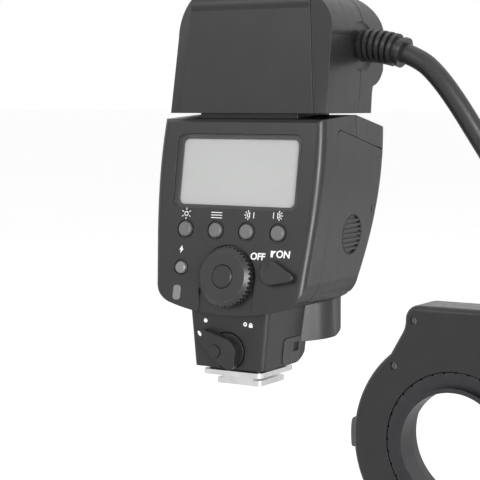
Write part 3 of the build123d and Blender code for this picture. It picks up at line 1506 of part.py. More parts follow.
def cable_points():
    """Corner points of the cable, from the head's strain relief to the ring's."""
    first, first_direction = relief_place(relief_start, 1)
    last, last_direction = relief_place(ring_relief_start, 1)
    return (
        [first, first + first_direction * CABLE_FIRST_RUN]
        + [Vector(*place) for place in CABLE_ROUTE]
        + [last + last_direction * CABLE_LAST_RUN, last]
    )


def cable_path(points):
    """Straight runs joined by tangent arcs, with the arcs' radii."""
    edges = []
    radii = []
    start = points[0]
    for i in range(1, len(points) - 1):
        before = points[i] - points[i - 1]
        after = points[i + 1] - points[i]
        reach = CABLE_ARC_SHARE * min(before.length, after.length)
        into = before.normalized()
        away = after.normalized()
        half = into.get_angle(away) / 2
        radius = reach / math.tan(math.radians(half))
        arc_start = points[i] - into * reach
        arc_end = points[i] + away * reach
        inward = (away - into).normalized()
        middle = points[i] + inward * (radius / math.cos(math.radians(half)) - radius)
        edges.append(Line(start, arc_start))
        edges.append(ThreePointArc(arc_start, middle, arc_end))
        radii.append(radius)
        start = arc_end
    edges.append(Line(start, points[-1]))
    return Wire(edges), radii


def make_cable():
    """Round cable, swept along its path."""
    points = cable_points()
    path, radii = cable_path(points)
    face = Plane(origin=points[0], z_dir=points[1] - points[0]) * Circle(CABLE_RADIUS)
    shape = sweep(face, path)
    print("cable radii", [round(radius, 1) for radius in radii])
    print("cable length", round(path.length, 1))
    print("cable volume", round(shape.volume, 1), "section by length", round(face.area * path.length, 1))
    return shape


def ring_outline(inset):
    """Front-view outline: a round ring with a tab on top for the cable."""
    low = -TAB_WAIST_RISE / 2
    corners = (
        (TAB_HALF_WIDTH, TAB_RISE),
        (TAB_HALF_WIDTH, TAB_WAIST_RISE),
        (TAB_FOOT_HALF_WIDTH, TAB_FOOT_RISE),
        (TAB_FOOT_HALF_WIDTH / 2, low),
    )
    mirrored = [(-x, y) for x, y in reversed(corners)]
    tab = make_face(Polyline(*corners, *mirrored, close=True))
    for place, radius in ((corners[0], TAB_CORNER), (corners[1], TAB_BLEND)):
        for side in (-1, 1):
            spot = Vector(side * place[0], place[1])
            tab = fillet(tab.vertices().sort_by_distance(spot)[0], radius)
    outline = Circle(RING_RADIUS) + tab
    return offset(outline, -inset) if inset else outline


def ring_form():
    """The ring's outer form with rounded edges, and the boss for the cable."""
    form = extrude(ring_outline(0), RING_DEPTH)
    rims = form.edges().group_by(Axis.Z)
    form = fillet(rims[0] + rims[-1], RING_EDGE_RADIUS)
    form = ring_plane.location * form
    start = Vector(GLAND_START, ring_relief_start.Y, ring_relief_start.Z)
    return form + rod(start, (1, 0, 0), GLAND_RADIUS, GLAND_REACH - GLAND_START)


def ring_cavity():
    """Hollow inside the ring, round its bore."""
    hollow = extrude(ring_outline(RING_WALL), RING_DEPTH - 2 * RING_WALL)
    hollow = on_ring(0, 0, RING_WALL) * hollow
    hollow -= ring_rod(0, 0, -OVERRUN, RING_DEPTH + OVERRUN, RING_BORE_RADIUS + RING_HUB_WALL)
    pocket_floor = adapter_top + LATCH_PLAY + RING_HUB_WALL
    hollow -= ring_rod(
        0, 0, -OVERRUN, pocket_floor, ADAPTER_FLANGE_RADIUS + ADAPTER_POCKET_PLAY + RING_WALL
    )
    start = Vector(GLAND_START, ring_relief_start.Y, ring_relief_start.Z)
    reach = GLAND_REACH - GLAND_START - RELIEF_ROOT
    return hollow + rod(start, (1, 0, 0), GLAND_RADIUS - GLAND_WALL, reach)


def ring_shell(ahead):
    """One half of the ring's housing, split across the lens axis."""
    low, high = (RING_SPLIT, RING_DEPTH + OVERRUN) if ahead else (-OVERRUN, RING_SPLIT)
    side = ring_plane.location * block((-far, far), (-far, far), (low, high))
    shell = (ring_form() - ring_cavity()) & side
    for x, up in ring_screw_places:
        post_high = RING_POST_TOP if ahead else RING_SPLIT
        post = ring_rod(x, up, RING_SPLIT if ahead else 0, post_high, RING_POST_RADIUS)
        shell += post & ring_form_solid
    for x, up in ring_screw_places:
        seat = on_ring(x, up, RING_SCREW_SINK).position
        shell = drilled(
            shell,
            seat,
            forward,
            RING_SCREW_RADIUS,
            RING_SCREW_LENGTH,
            RING_SCREW_HEAD,
            RING_SCREW_SINK + OVERRUN,
        )
    shell -= ring_rod(0, 0, -OVERRUN, RING_DEPTH + OVERRUN, RING_BORE_RADIUS)
    pocket = adapter_top + LATCH_PLAY
    shell -= ring_rod(0, 0, -OVERRUN, pocket, ADAPTER_FLANGE_RADIUS + ADAPTER_POCKET_PLAY)
    root = ring_relief_start - Vector(RELIEF_ROOT, 0, 0)
    return shell - rod(root, (1, 0, 0), RELIEF_CORE_RADIUS, RELIEF_ROOT + OVERRUN)


ring_form_solid = ring_form()


def make_ring_rear_shell():
    """Rear half, with the adapter's pocket, the latch slots and the button windows."""
    shell = ring_shell(False)
    slot_half = LATCH_CLAW_WIDTH / 2 + LATCH_PLAY
    claw = RING_BORE_RADIUS + RING_HUB_WALL + OVERRUN
    depth = (latch_low - LATCH_PLAY, latch_high + LATCH_PLAY)
    window_half = RING_BUTTON_WIDTH / 2 + LATCH_PLAY
    window = (RING_BUTTON_LOW - LATCH_PLAY, RING_BUTTON_LOW + RING_BUTTON_DEPTH + LATCH_PLAY)
    for side in (-1, 1):
        near, outer = sorted((0, side * claw))
        shell -= ring_plane.location * block((near, outer), (-slot_half, slot_half), depth)
        near, outer = sorted((side * LATCH_ARM_REACH, side * 2 * RING_RADIUS))
        shell -= ring_plane.location * block((near, outer), (-window_half, window_half), window)
    return shell.solids().sort_by(SortBy.VOLUME)[-1]


def sector(inner, outer, low, high, half_angle, side):
    """Part of a round band about the lens axis, to the left or right."""
    reach = 2 * outer
    turn = math.radians(half_angle)
    tip = (reach * math.cos(turn), reach * math.sin(turn))
    wedge = make_face(
        Polyline((0, 0), (tip[0], -tip[1]), (reach, -tip[1]), (reach, tip[1]), tip, close=True)
    )
    flat = (Circle(outer) - Circle(inner)) & wedge
    return on_ring(0, 0, low) * Rot(0, 0, 90 - 90 * side) * extrude(flat, high - low)


def make_ring_front_shell():
    """Front half, with the two light windows and the lamps' holes."""
    shell = ring_shell(True)
    for side in (-1, 1):
        shell -= sector(
            LIGHT_INNER_RADIUS,
            LIGHT_OUTER_RADIUS,
            front_inside - OVERRUN,
            RING_DEPTH + OVERRUN,
            LIGHT_HALF_ANGLE,
            side,
        )
        shell -= ring_rod(
            0, side * LAMP_RING_RADIUS, RING_SPLIT, RING_DEPTH + OVERRUN, LAMP_RADIUS + SCREW_PLAY
        )
    return shell.solids().sort_by(SortBy.VOLUME)[-1]


def make_ring_screws():
    return separate(
        screw(
            on_ring(x, up, RING_SCREW_SINK).position,
            forward,
            RING_SCREW_RADIUS,
            RING_SCREW_LENGTH,
            RING_SCREW_HEAD,
            RING_SCREW_HEAD_HEIGHT,
        )
        for x, up in ring_screw_places
    )


def make_diffusers():
    """Two curved windows, ribbed across on their faces."""
    high = RING_DEPTH - DIFFUSER_SINK
    pieces = []
    for side in (-1, 1):
        piece = sector(
            LIGHT_INNER_RADIUS, LIGHT_OUTER_RADIUS, high - DIFFUSER_THICK, high, LIGHT_HALF_ANGLE, side
        )
        for i in range(DIFFUSER_RIB_COUNT):
            turn = LIGHT_HALF_ANGLE * (2 * (i + 1) / (DIFFUSER_RIB_COUNT + 1) - 1)
            bar = Box(LIGHT_OUTER_RADIUS, DIFFUSER_RIB_WIDTH, 2 * DIFFUSER_RIB_DEPTH)
            groove = Rot(0, 0, 90 - 90 * side + turn) * Pos(LIGHT_OUTER_RADIUS, 0, 0) * bar
            piece -= on_ring(0, 0, high) * groove
        pieces.append(piece)
    return separate(pieces)


def make_reflectors():
    low = front_inside - REFLECTOR_DEPTH
    wall = REFLECTOR_WALL
    inset_angle = LIGHT_HALF_ANGLE * (1 - wall / LAMP_RING_RADIUS)
    return separate(
        sector(LIGHT_INNER_RADIUS, LIGHT_OUTER_RADIUS, low, front_inside, LIGHT_HALF_ANGLE, side)
        - sector(
            LIGHT_INNER_RADIUS + wall, LIGHT_OUTER_RADIUS - wall, low + wall, RING_DEPTH, inset_angle, side
        )
        for side in (-1, 1)
    )


def make_flash_tubes():
    """Two curved glass tubes, one in each reflector."""
    depth = front_inside - REFLECTOR_DEPTH + TUBE_LIFT
    middle = (LIGHT_INNER_RADIUS + LIGHT_OUTER_RADIUS) / 2
    reach = LIGHT_HALF_ANGLE - TUBE_END_ANGLE
    section = Plane.XZ * Pos(middle, depth) * Circle(TUBE_RADIUS)
    tube = Rot(0, 0, -reach) * revolve(section, Axis.Z, 2 * reach)
    seat = front_inside - REFLECTOR_DEPTH + REFLECTOR_WALL
    holder = Cylinder(TUBE_END_RADIUS, depth + TUBE_END_RADIUS - seat, align=MIN3)
    for end in (-1, 1):
        tube += Rot(0, 0, end * reach) * Pos(middle, 0, seat) * holder
    return separate(ring_plane.location * Rot(0, 0, 90 - 90 * side) * tube for side in (-1, 1))


def make_focusing_lamps():
    """Two round-nosed lamps, above and below the lens."""
    low = front_inside - REFLECTOR_DEPTH
    lamp = Cylinder(LAMP_RADIUS, LAMP_LENGTH, align=MIN3)
    lamp = fillet(lamp.edges().group_by(Axis.Z)[-1], LAMP_TIP)
    return separate(on_ring(0, side * LAMP_RING_RADIUS, low) * lamp for side in (-1, 1))


def make_ring_board():
    high = front_inside - REFLECTOR_DEPTH
    return ring_band(high - RING_BOARD_THICK, high, RING_BOARD_OUTER, RING_BOARD_INNER)


def make_adapter_ring():
    """Ring that screws into the lens, with the groove that the latches grip."""
    hub_top = adapter_top + ADAPTER_HUB_LENGTH
    shape = ring_rod(0, 0, ADAPTER_SINK, adapter_top, ADAPTER_FLANGE_RADIUS)
    notch = Cylinder(ADAPTER_GRIP_RADIUS, ADAPTER_FLANGE_THICK + 2 * OVERRUN, align=MIN3)
    notches = [place * notch for place in PolarLocations(ADAPTER_FLANGE_RADIUS, ADAPTER_GRIP_COUNT)]
    shape -= on_ring(0, 0, ADAPTER_SINK - OVERRUN) * Compound(
        children=[c for n in notches for c in n.solids()]
    )
    shape += ring_rod(0, 0, adapter_top, hub_top, ADAPTER_HUB_RADIUS)
    groove = adapter_top + ADAPTER_GROOVE_START
    shape -= ring_band(
        groove,
        groove + ADAPTER_GROOVE_WIDTH,
        ADAPTER_FLANGE_RADIUS,
        ADAPTER_HUB_RADIUS - ADAPTER_GROOVE_DEPTH,
    )
    shape += ring_rod(0, 0, ADAPTER_SINK - ADAPTER_THREAD_LENGTH, ADAPTER_SINK, ADAPTER_THREAD_RADIUS)
    return shape - ring_rod(0, 0, -2 * ADAPTER_THREAD_LENGTH, hub_top + OVERRUN, ADAPTER_INNER_RADIUS)


def make_latch_plate(side):
    """Sliding ring plate: an arm out to its button, and a claw on the far side of the hub."""
    low = LATCH_DEPTH + (LATCH_THICK + LATCH_GAP if side < 0 else 0)
    high = low + LATCH_THICK
    plate = ring_band(low, high, LATCH_OUTER_RADIUS, LATCH_INNER_RADIUS)
    arm_half = LATCH_ARM_WIDTH / 2
    middle = (LATCH_INNER_RADIUS + LATCH_OUTER_RADIUS) / 2
    near, outer = sorted((-side * middle, -side * LATCH_ARM_REACH))
    plate += ring_plane.location * block((near, outer), (-arm_half, arm_half), (low, high))
    claw_half = LATCH_CLAW_WIDTH / 2
    near, outer = sorted((side * middle, 0))
    claw = ring_plane.location * block((near, outer), (-claw_half, claw_half), (low, high))
    return plate + (claw - ring_rod(0, 0, 0, RING_DEPTH, ADAPTER_HUB_RADIUS - LATCH_BITE))


def make_release_button(side):
    """Side button that pushes a latch plate, its flange inside the housing."""
    middle = RING_BUTTON_LOW + RING_BUTTON_DEPTH / 2
    half = RING_BUTTON_WIDTH / 2
    near, outer = sorted((-side * LATCH_ARM_REACH, -side * 2 * RING_RADIUS))
    cap = block((near, outer), (-half, half), (RING_BUTTON_LOW, RING_BUTTON_LOW + RING_BUTTON_DEPTH))
    cap = fillet(cap.edges().filter_by(Axis.X), RING_BUTTON_CORNER)
    cap = ring_plane.location * cap & ring_rod(0, 0, -OVERRUN, RING_DEPTH, RING_RADIUS + RING_BUTTON_STAND)
    half = RING_BUTTON_FLANGE_WIDTH / 2
    near, outer = sorted((-side * LATCH_ARM_REACH, -side * (LATCH_ARM_REACH + RING_BUTTON_FLANGE_THICK)))
    depth = (middle - RING_BUTTON_FLANGE_DEPTH / 2, middle + RING_BUTTON_FLANGE_DEPTH / 2)
    return cap + ring_plane.location * block((near, outer), (-half, half), depth)


pieces = {
    "rear_body_shell": make_rear_body_shell,
    "front_body_shell": make_front_body_shell,
    "head_collar": make_head_collar,
    "head_rear_shell": make_head_rear_shell,
    "head_front_shell": make_head_front_shell,
    "neck_housing": make_neck_housing,
    "lcd_window": make_lcd_window,
    "lcd_panel": make_lcd_panel,
    "control_board": make_control_board,
    "power_board": make_power_board,
    "main_capacitor": make_main_capacitor,
    "charging_transformer": make_charging_transformer,
    "battery_tray": make_battery_tray,
    "battery_cells": make_battery_cells,
    "battery_contacts": make_battery_contacts,
    "body_screws": make_body_screws,
    "board_screws": make_board_screws,
    "pilot_button": make_pilot_button,
    "ready_lamp_window": make_ready_lamp_window,
    "control_dial": make_control_dial,
    "dial_encoder": make_dial_encoder,
    "set_button": make_set_button,
    "power_lever": make_power_lever,
    "power_switch": make_power_switch,
    "keypad_switches": make_keypad_switches,
    "battery_door": make_battery_door,
    "door_hinge_pin": make_door_hinge_pin,
    "door_slider": make_door_slider,
    "lock_lever": make_lock_lever,
    "lock_lever_hub": make_lock_lever_hub,
    "lock_release_button": make_lock_release_button,
    "lock_pin": make_lock_pin,
    "shoe_foot": make_shoe_foot,
    "lock_flange": make_lock_flange,
    "foot_screws": make_foot_screws,
    "contact_block": make_contact_block,
    "contact_pins": make_contact_pins,
    "port_insert": make_port_insert,
    "head_board": make_head_board,
    "head_strain_relief": make_head_strain_relief,
    "cable": make_cable,
    "ring_strain_relief": make_ring_strain_relief,
    "ring_rear_shell": make_ring_rear_shell,
    "ring_front_shell": make_ring_front_shell,
    "ring_screws": make_ring_screws,
    "flash_tubes": make_flash_tubes,
    "reflectors": make_reflectors,
    "diffusers": make_diffusers,
    "focusing_lamps": make_focusing_lamps,
    "ring_board": make_ring_board,
    "adapter_ring": make_adapter_ring,
}

os.makedirs("parts", exist_ok=True)
for name, maker in pieces.items():
    export_step(maker(), f"parts/{name}.step")
for number, (x, rise) in enumerate(button_places, start=1):
    export_step(make_button(x, rise, BUTTON_RADIUS), f"parts/function_button_{number}.step")
for name, side in (("left", -1), ("right", 1)):
    export_step(make_release_button(side), f"parts/release_button_{name}.step")
    export_step(make_latch_plate(side), f"parts/latch_plate_{name}.step")
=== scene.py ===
import json
import math

import bmesh
import bpy
from mathutils import Matrix, Vector


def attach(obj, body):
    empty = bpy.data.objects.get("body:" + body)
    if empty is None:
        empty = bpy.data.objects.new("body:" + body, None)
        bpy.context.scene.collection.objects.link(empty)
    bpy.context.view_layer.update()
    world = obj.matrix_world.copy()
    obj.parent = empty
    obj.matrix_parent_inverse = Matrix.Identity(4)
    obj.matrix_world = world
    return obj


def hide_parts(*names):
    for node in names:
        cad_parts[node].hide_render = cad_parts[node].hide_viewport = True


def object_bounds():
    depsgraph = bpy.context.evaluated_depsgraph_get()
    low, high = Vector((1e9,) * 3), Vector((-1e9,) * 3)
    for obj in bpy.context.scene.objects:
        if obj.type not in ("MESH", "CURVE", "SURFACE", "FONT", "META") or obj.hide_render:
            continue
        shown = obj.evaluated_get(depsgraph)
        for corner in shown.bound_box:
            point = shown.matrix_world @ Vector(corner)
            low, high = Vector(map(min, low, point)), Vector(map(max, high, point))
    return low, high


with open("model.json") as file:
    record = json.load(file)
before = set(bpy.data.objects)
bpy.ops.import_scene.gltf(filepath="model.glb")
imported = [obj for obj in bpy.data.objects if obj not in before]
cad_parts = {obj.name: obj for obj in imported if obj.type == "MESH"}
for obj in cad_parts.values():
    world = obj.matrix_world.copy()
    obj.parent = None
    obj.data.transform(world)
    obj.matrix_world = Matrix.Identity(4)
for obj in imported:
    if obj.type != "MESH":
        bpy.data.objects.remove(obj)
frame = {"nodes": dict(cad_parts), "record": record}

MM = 0.001
cad_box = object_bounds()


def linked(name, data):
    """A new object of the scene."""
    made = bpy.data.objects.new(name, data)
    bpy.context.scene.collection.objects.link(made)
    return made


# Camera at the photograph's viewing angle
FOCAL_LENGTH = 114.4
CAMERA_PLACE = (0.2875, -0.4788, 0.1022)
CAMERA_TILT = 84.9
CAMERA_TURN = 31.4
NEAREST_SEEN = 0.01
FARTHEST_SEEN = 50.0

camera_data = bpy.data.cameras.new("camera")
camera_data.lens = FOCAL_LENGTH
camera_data.clip_start = NEAREST_SEEN
camera_data.clip_end = FARTHEST_SEEN
camera = linked("camera", camera_data)
camera.location = CAMERA_PLACE
camera.rotation_euler = (math.radians(CAMERA_TILT), 0, math.radians(CAMERA_TURN))
bpy.context.scene.camera = camera

# Cable from the head to the ring
CABLE_RADIUS = 3.7
CABLE_POINTS = (
    (49.657, 24.857, 120.463),
    (56.235, 24.857, 118.069),
    (62.5, 25.2, 112.4),
    (69.2, 26.0, 103.7),
    (77.0, 28.0, 91.0),
    (86.0, 33.0, 74.5),
    (95.5, 43.0, 51.0),
    (104.0, 60.0, 23.0),
    (109.0, 83.0, -5.0),
    (109.0, 112.0, -28.0),
    (105.5, 143.0, -39.5),
    (97.0, 172.0, -38.0),
    (83.0, 193.0, -30.0),
    (67.813, 202.0, -22.725),
    (54.657, 202.0, -17.937),
)


def make_cable():
    curve = bpy.data.curves.new("cable_cord", "CURVE")
    curve.dimensions = "3D"
    spline = curve.splines.new("NURBS")
    spline.points.add(len(CABLE_POINTS) - 1)
    for point, place in zip(spline.points, CABLE_POINTS):
        point.co = (*(MM * value for value in place), 1.0)
        point.radius = CABLE_RADIUS * MM
    spline.order_u = 3
    spline.use_endpoint_u = True
    curve.resolution_u = 16
    curve.bevel_depth = 1.0
    curve.bevel_resolution = 8
    curve.use_fill_caps = True
    cable = linked("cable_cord", curve)
    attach(cable, "flash_unit")
    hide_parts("cable")
    return cable


cable = make_cable()

# Materials
FLAT_MATCH = 0.98
EDGE_MATCH = 0.80
BAND_FACTOR = 6.28


class Tree:
    """A new material and the nodes made in it. Sizes are in millimetres."""

    def __init__(self, name):
        self.material = bpy.data.materials.new(name)
        self.material.use_nodes = True
        self.tree = self.material.node_tree
        self.shader = next(n for n in self.tree.nodes if n.type == "BSDF_PRINCIPLED")
        self.place = self.add("ShaderNodeTexCoord").outputs["Object"]

    def add(self, kind, settings=None, **values):
        """A node with attributes from values, and sockets from settings."""
        made = self.tree.nodes.new(kind)
        for name, value in values.items():
            setattr(made, name, value)
        for name, value in (settings or {}).items():
            self.put(made.inputs[name], value)
        return made

    def put(self, socket, value):
        if isinstance(value, bpy.types.NodeSocket):
            self.tree.links.new(value, socket)
        else:
            socket.default_value = value

    def noise(self, size, detail=2.0, stretch=(1.0, 1.0, 1.0)):
        """A noise with spots of about one size."""
        place = self.place
        if stretch != (1.0, 1.0, 1.0):
            stretched = self.add("ShaderNodeVectorMath", operation="MULTIPLY")
            self.put(stretched.inputs[0], self.place)
            self.put(stretched.inputs[1], stretch)
            place = stretched.outputs["Vector"]
        settings = {"Vector": place, "Scale": 1.0 / (size * MM), "Detail": detail}
        return self.add("ShaderNodeTexNoise", settings).outputs["Fac"]

    def bands(self, size, direction, distortion=0.0):
        """Soft stripes, about two sizes apart."""
        settings = {
            "Vector": self.place,
            "Scale": 1.0 / (size * MM * BAND_FACTOR),
            "Distortion": distortion,
        }
        return self.add("ShaderNodeTexWave", settings, bands_direction=direction).outputs["Fac"]

    def bricks(self, first, second, joint, scale, joint_width):
        settings = {
            "Vector": self.place,
            "Color1": first,
            "Color2": second,
            "Mortar": joint,
            "Scale": scale,
            "Mortar Size": joint_width,
        }
        return self.add("ShaderNodeTexBrick", settings)

    def spread(self, value, low, high, start=0.3, end=0.7):
        """A value from start to end becomes a number from low to high."""
        settings = {"Value": value, "From Min": start, "From Max": end, "To Min": low, "To Max": high}
        return self.add("ShaderNodeMapRange", settings).outputs["Result"]

    def uneven(self, size, detail, low, high):
        """A number that wanders from low to high over the surface."""
        return self.spread(self.noise(size, detail), low, high)

    def mixed(self, factor, first, second):
        mix = self.add("ShaderNodeMix", data_type="RGBA")
        self.put(mix.inputs[0], factor)
        self.put(mix.inputs[6], first)
        self.put(mix.inputs[7], second)
        return mix.outputs[2]

    def clouded(self, size, detail, first, second):
        """A colour that wanders between two over the surface."""
        return self.mixed(self.uneven(size, detail, 0.0, 1.0), first, second)

    def edges(self, radius):
        """The normal with rounded edges, and how much a point lies on an edge."""
        bevel = self.add("ShaderNodeBevel", {"Radius": radius * MM}, samples=4)
        face = self.add("ShaderNodeNewGeometry").outputs["Normal"]
        match = self.add("ShaderNodeVectorMath", operation="DOT_PRODUCT")
        self.put(match.inputs[0], bevel.outputs["Normal"])
        self.put(match.inputs[1], face)
        rim = self.spread(match.outputs["Value"], 0.0, 1.0, FLAT_MATCH, EDGE_MATCH)
        return bevel.outputs["Normal"], rim

    def bump(self, height, depth, strength, normal=None):
        settings = {"Height": height, "Distance": depth * MM, "Strength": strength}
        if normal is not None:
            settings["Normal"] = normal
        return self.add("ShaderNodeBump", settings).outputs["Normal"]

    def finish(self, **values):
        """Sets the shader's inputs, with _ in place of the spaces of their names."""
        for name, value in values.items():
            self.put(self.shader.inputs[name.replace("_", " ")], value)
        return self.material


def scaled(colour, factor):
    return (*(min(1.0, channel * factor) for channel in colour[:3]), 1.0)


def plastic(
    name, colour, roughness, grain=0.3, depth=0.02, mottle=0.12, edge=0.35, wear_and_glint=0.35, rub_and_glint=2.6
):
    """Moulded plastic with a fine grain, faint handling marks and lightened edges: rubbed on most
    parts, and on the dial, where the edge factor is large, a painted highlight.
    """
    made = Tree(name)
    base = made.clouded(9.0, 4.0, scaled(colour, 1.0 - mottle), scaled(colour, 1.0 + mottle))
    normal, rim = made.edges(edge)
    # Lightened edges: rubbed marks on most parts, a painted highlight along the dial's knurl
    wear_and_glint_mask = made.add("ShaderNodeMath", operation="MULTIPLY")
    made.put(wear_and_glint_mask.inputs[0], rim)
    made.put(wear_and_glint_mask.inputs[1], made.uneven(2.2, 5.0, 0.0, wear_and_glint))
    marks = made.noise(3.0, 6.0, (1.0, 1.0, 0.35))
    return made.finish(
        Base_Color=made.mixed(wear_and_glint_mask.outputs[0], base, scaled(colour, rub_and_glint)),
        Roughness=made.spread(marks, roughness - 0.06, roughness + 0.06),
        Normal=made.bump(made.noise(grain), depth, 0.6, normal),
    )


def metal(name, colour, roughness, stretch=(1.0, 1.0, 14.0), lines=0.35):
    """Metal with drawn lines, uneven polish and bright edges."""
    made = Tree(name)
    streak = made.noise(lines, 3.0, stretch)
    base = made.clouded(4.0, 4.0, scaled(colour, 0.92), scaled(colour, 1.08))
    normal, rim = made.edges(0.15)
    return made.finish(
        Metallic=1.0,
        Base_Color=made.mixed(rim, base, scaled(colour, 1.25)),
        Roughness=made.spread(streak, roughness - 0.08, roughness + 0.1),
        Normal=made.bump(streak, 0.008, 0.5, normal),
    )


def painted(name, colour):
    """White print on plastic, slightly uneven."""
    made = Tree(name)
    return made.finish(
        Base_Color=made.clouded(0.4, 3.0, scaled(colour, 0.93), colour),
        Roughness=made.uneven(0.8, 2.0, 0.42, 0.58),
        Normal=made.bump(made.noise(0.2), 0.01, 0.4),
    )


def rubber(name, colour, roughness):
    """Soft skin, with faint dust and an uneven sheen."""
    made = Tree(name)
    return made.finish(
        Base_Color=made.clouded(6.0, 5.0, scaled(colour, 0.85), scaled(colour, 1.2)),
        Roughness=made.uneven(1.5, 5.0, roughness - 0.07, roughness + 0.07),
        Normal=made.bump(made.noise(0.5, 4.0), 0.03, 0.5),
    )


def clear(name, colour, alpha, roughness):
    """A clear moulded cover with the slightest unevenness."""
    made = Tree(name)
    return made.finish(
        Alpha=alpha,
        Base_Color=made.clouded(5.0, 3.0, scaled(colour, 0.96), colour),
        Roughness=made.uneven(2.0, 3.0, roughness, roughness + 0.05),
        Normal=made.bump(made.noise(8.0, 1.0), 0.01, 0.3),
    )


def lens(name, colour):
    """A ribbed translucent cover: fine moulded lines across it."""
    made = Tree(name)
    ribs = made.bands(0.8, "X")
    return made.finish(
        Subsurface_Weight=0.2,
        Subsurface_Radius=(0.002, 0.002, 0.002),
        Base_Color=made.mixed(ribs, scaled(colour, 0.9), colour),
        Roughness=made.uneven(2.0, 3.0, 0.3, 0.4),
        Normal=made.bump(ribs, 0.25, 0.7),
    )


def board(name, colour):
    """A varnished circuit board with tracks under the varnish."""
    made = Tree(name)
    tracks = made.bricks(scaled(colour, 1.7), scaled(colour, 0.8), scaled(colour, 0.45), 220.0, 0.03)
    return made.finish(
        Coat_Weight=0.4,
        Base_Color=made.mixed(made.uneven(3.0, 3.0, 0.0, 0.6), tracks.outputs["Color"], colour),
        Roughness=made.uneven(1.0, 3.0, 0.3, 0.45),
        Normal=made.bump(tracks.outputs["Fac"], 0.02, 0.5),
    )


def wound(name, colour):
    """Enamelled wire in close turns."""
    made = Tree(name)
    turns = made.bands(0.25, "Z", 0.4)
    return made.finish(
        Metallic=0.8,
        Base_Color=made.mixed(turns, scaled(colour, 0.5), colour),
        Roughness=made.uneven(1.0, 2.0, 0.3, 0.45),
        Normal=made.bump(turns, 0.08, 0.8),
    )


def display(name, colour):
    """A blank liquid crystal panel: an even grey with a faint square grid."""
    made = Tree(name)
    grid = made.bricks(colour, scaled(colour, 0.98), scaled(colour, 0.93), 900.0, 0.02)
    return made.finish(
        Base_Color=made.clouded(20.0, 1.0, grid.outputs["Color"], scaled(colour, 1.03)),
        Roughness=made.uneven(1.0, 2.0, 0.35, 0.45),
        Normal=made.bump(made.noise(0.3), 0.004, 0.3),
    )


BLACK = (0.013, 0.013, 0.0135, 1.0)
CORD_BLACK = (0.014, 0.014, 0.0145, 1.0)
DIAL_BLACK = (0.018, 0.018, 0.0185, 1.0)
# Painted shade: the near-black given to pieces that stand for the shade in recessed lines and under the
# power lever
PAINTED_SHADE_BLACK = (0.004, 0.004, 0.004, 1.0)
KEY_GREY = (0.1, 0.1, 0.102, 1.0)
BRIGHT_KEY_GREY = (0.115, 0.115, 0.117, 1.0)
LAMP_GREY = (0.18, 0.18, 0.177, 1.0)
PRINT_WHITE = (0.85, 0.85, 0.85, 1.0)
KEY_FINISH = {"grain": 0.25, "depth": 0.015, "mottle": 0.08, "edge": 0.25, "wear_and_glint": 0.3}
# The dial's edges are lightened strongly: a painted highlight, the glint along its knurl
DIAL_FINISH = {"grain": 0.25, "depth": 0.015, "edge": 0.3, "wear_and_glint": 1.0, "rub_and_glint": 12.0}
LAMP_FINISH = {"grain": 0.6, "depth": 0.01, "mottle": 0.06, "edge": 0.25, "wear_and_glint": 0.2}
CELL_FINISH = {"grain": 0.8, "depth": 0.01, "mottle": 0.1, "edge": 0.2, "wear_and_glint": 0.2}

looks = {
    "housing": plastic("housing", BLACK, 0.34),
    "foot_metal": metal("foot_metal", (0.7, 0.7, 0.7, 1.0), 0.3, (14.0, 1.0, 14.0)),
    "window": clear("window", (0.3, 0.3, 0.3, 1.0), 0.12, 0.06),
    "display": display("display", (0.54, 0.55, 0.54, 1.0)),
    "circuit_board": board("circuit_board", (0.02, 0.16, 0.06, 1.0)),
    "component": plastic("component", (0.03, 0.03, 0.033, 1.0), 0.45, grain=0.2, depth=0.01),
    "capacitor_can": plastic("capacitor_can", (0.015, 0.015, 0.03, 1.0), 0.3, grain=0.6, depth=0.01),
    "winding": wound("winding", (0.65, 0.3, 0.1, 1.0)),
    "cell": plastic("cell", (0.35, 0.36, 0.38, 1.0), 0.3, **CELL_FINISH),
    "contact": metal("contact", (0.9, 0.72, 0.38, 1.0), 0.25),
    "screw_steel": metal("screw_steel", (0.22, 0.22, 0.23, 1.0), 0.4, (1.0, 1.0, 1.0)),
    "key": plastic("key", KEY_GREY, 0.5, **KEY_FINISH),
    "bright_key": plastic("bright_key", BRIGHT_KEY_GREY, 0.5, **KEY_FINISH),
    "dial": plastic("dial", DIAL_BLACK, 0.34, **DIAL_FINISH),
    "lamp_window": plastic("lamp_window", LAMP_GREY, 0.25, **LAMP_FINISH),
    "lever_plastic": plastic("lever_plastic", BLACK, 0.4, grain=0.25, depth=0.015),
    "cord": rubber("cord", CORD_BLACK, 0.4),
    "diffuser": lens("diffuser", (0.8, 0.82, 0.84, 1.0)),
    "reflector": metal("reflector", (0.92, 0.92, 0.93, 1.0), 0.12, (1.0, 1.0, 1.0), 3.0),
    "tube_glass": clear("tube_glass", (0.9, 0.93, 0.96, 1.0), 0.45, 0.05),
    "adapter_metal": metal("adapter_metal", (0.06, 0.06, 0.065, 1.0), 0.38, (1.0, 8.0, 1.0)),
    "plate_steel": metal("plate_steel", (0.55, 0.55, 0.57, 1.0), 0.35),
    "print": painted("print", PRINT_WHITE),
    # Painted shade in recessed lines and under the power lever, made with the rubber look
    "painted_groove_shade": rubber("painted_groove_shade", PAINTED_SHADE_BLACK, 0.7),
}

for part in frame["record"]["subparts"]:
    slots = frame["nodes"][part["node"]].data.materials
    slots.clear()
    slots.append(looks[part["material_slot"]])

for name, look in (
    ("function_button_1", "bright_key"),
    ("function_button_2", "bright_key"),
    ("function_button_3", "bright_key"),
    ("function_button_4", "bright_key"),
    ("pilot_button", "lamp_window"),
    ("set_button", "lever_plastic"),
    ("lock_release_button", "lever_plastic"),
    ("control_dial", "dial"),
):
    frame["nodes"][name].data.materials[0] = looks[look]
cable.data.materials.append(looks["cord"])

# Planes of the leaning panel, the neck's rear and the locking lever's face
PANEL_LEAN = 9.5
PANEL_Y = -19.1
PANEL_Z = 26.5
NECK_Y = -16.0
LEVER_RISE = 3.7

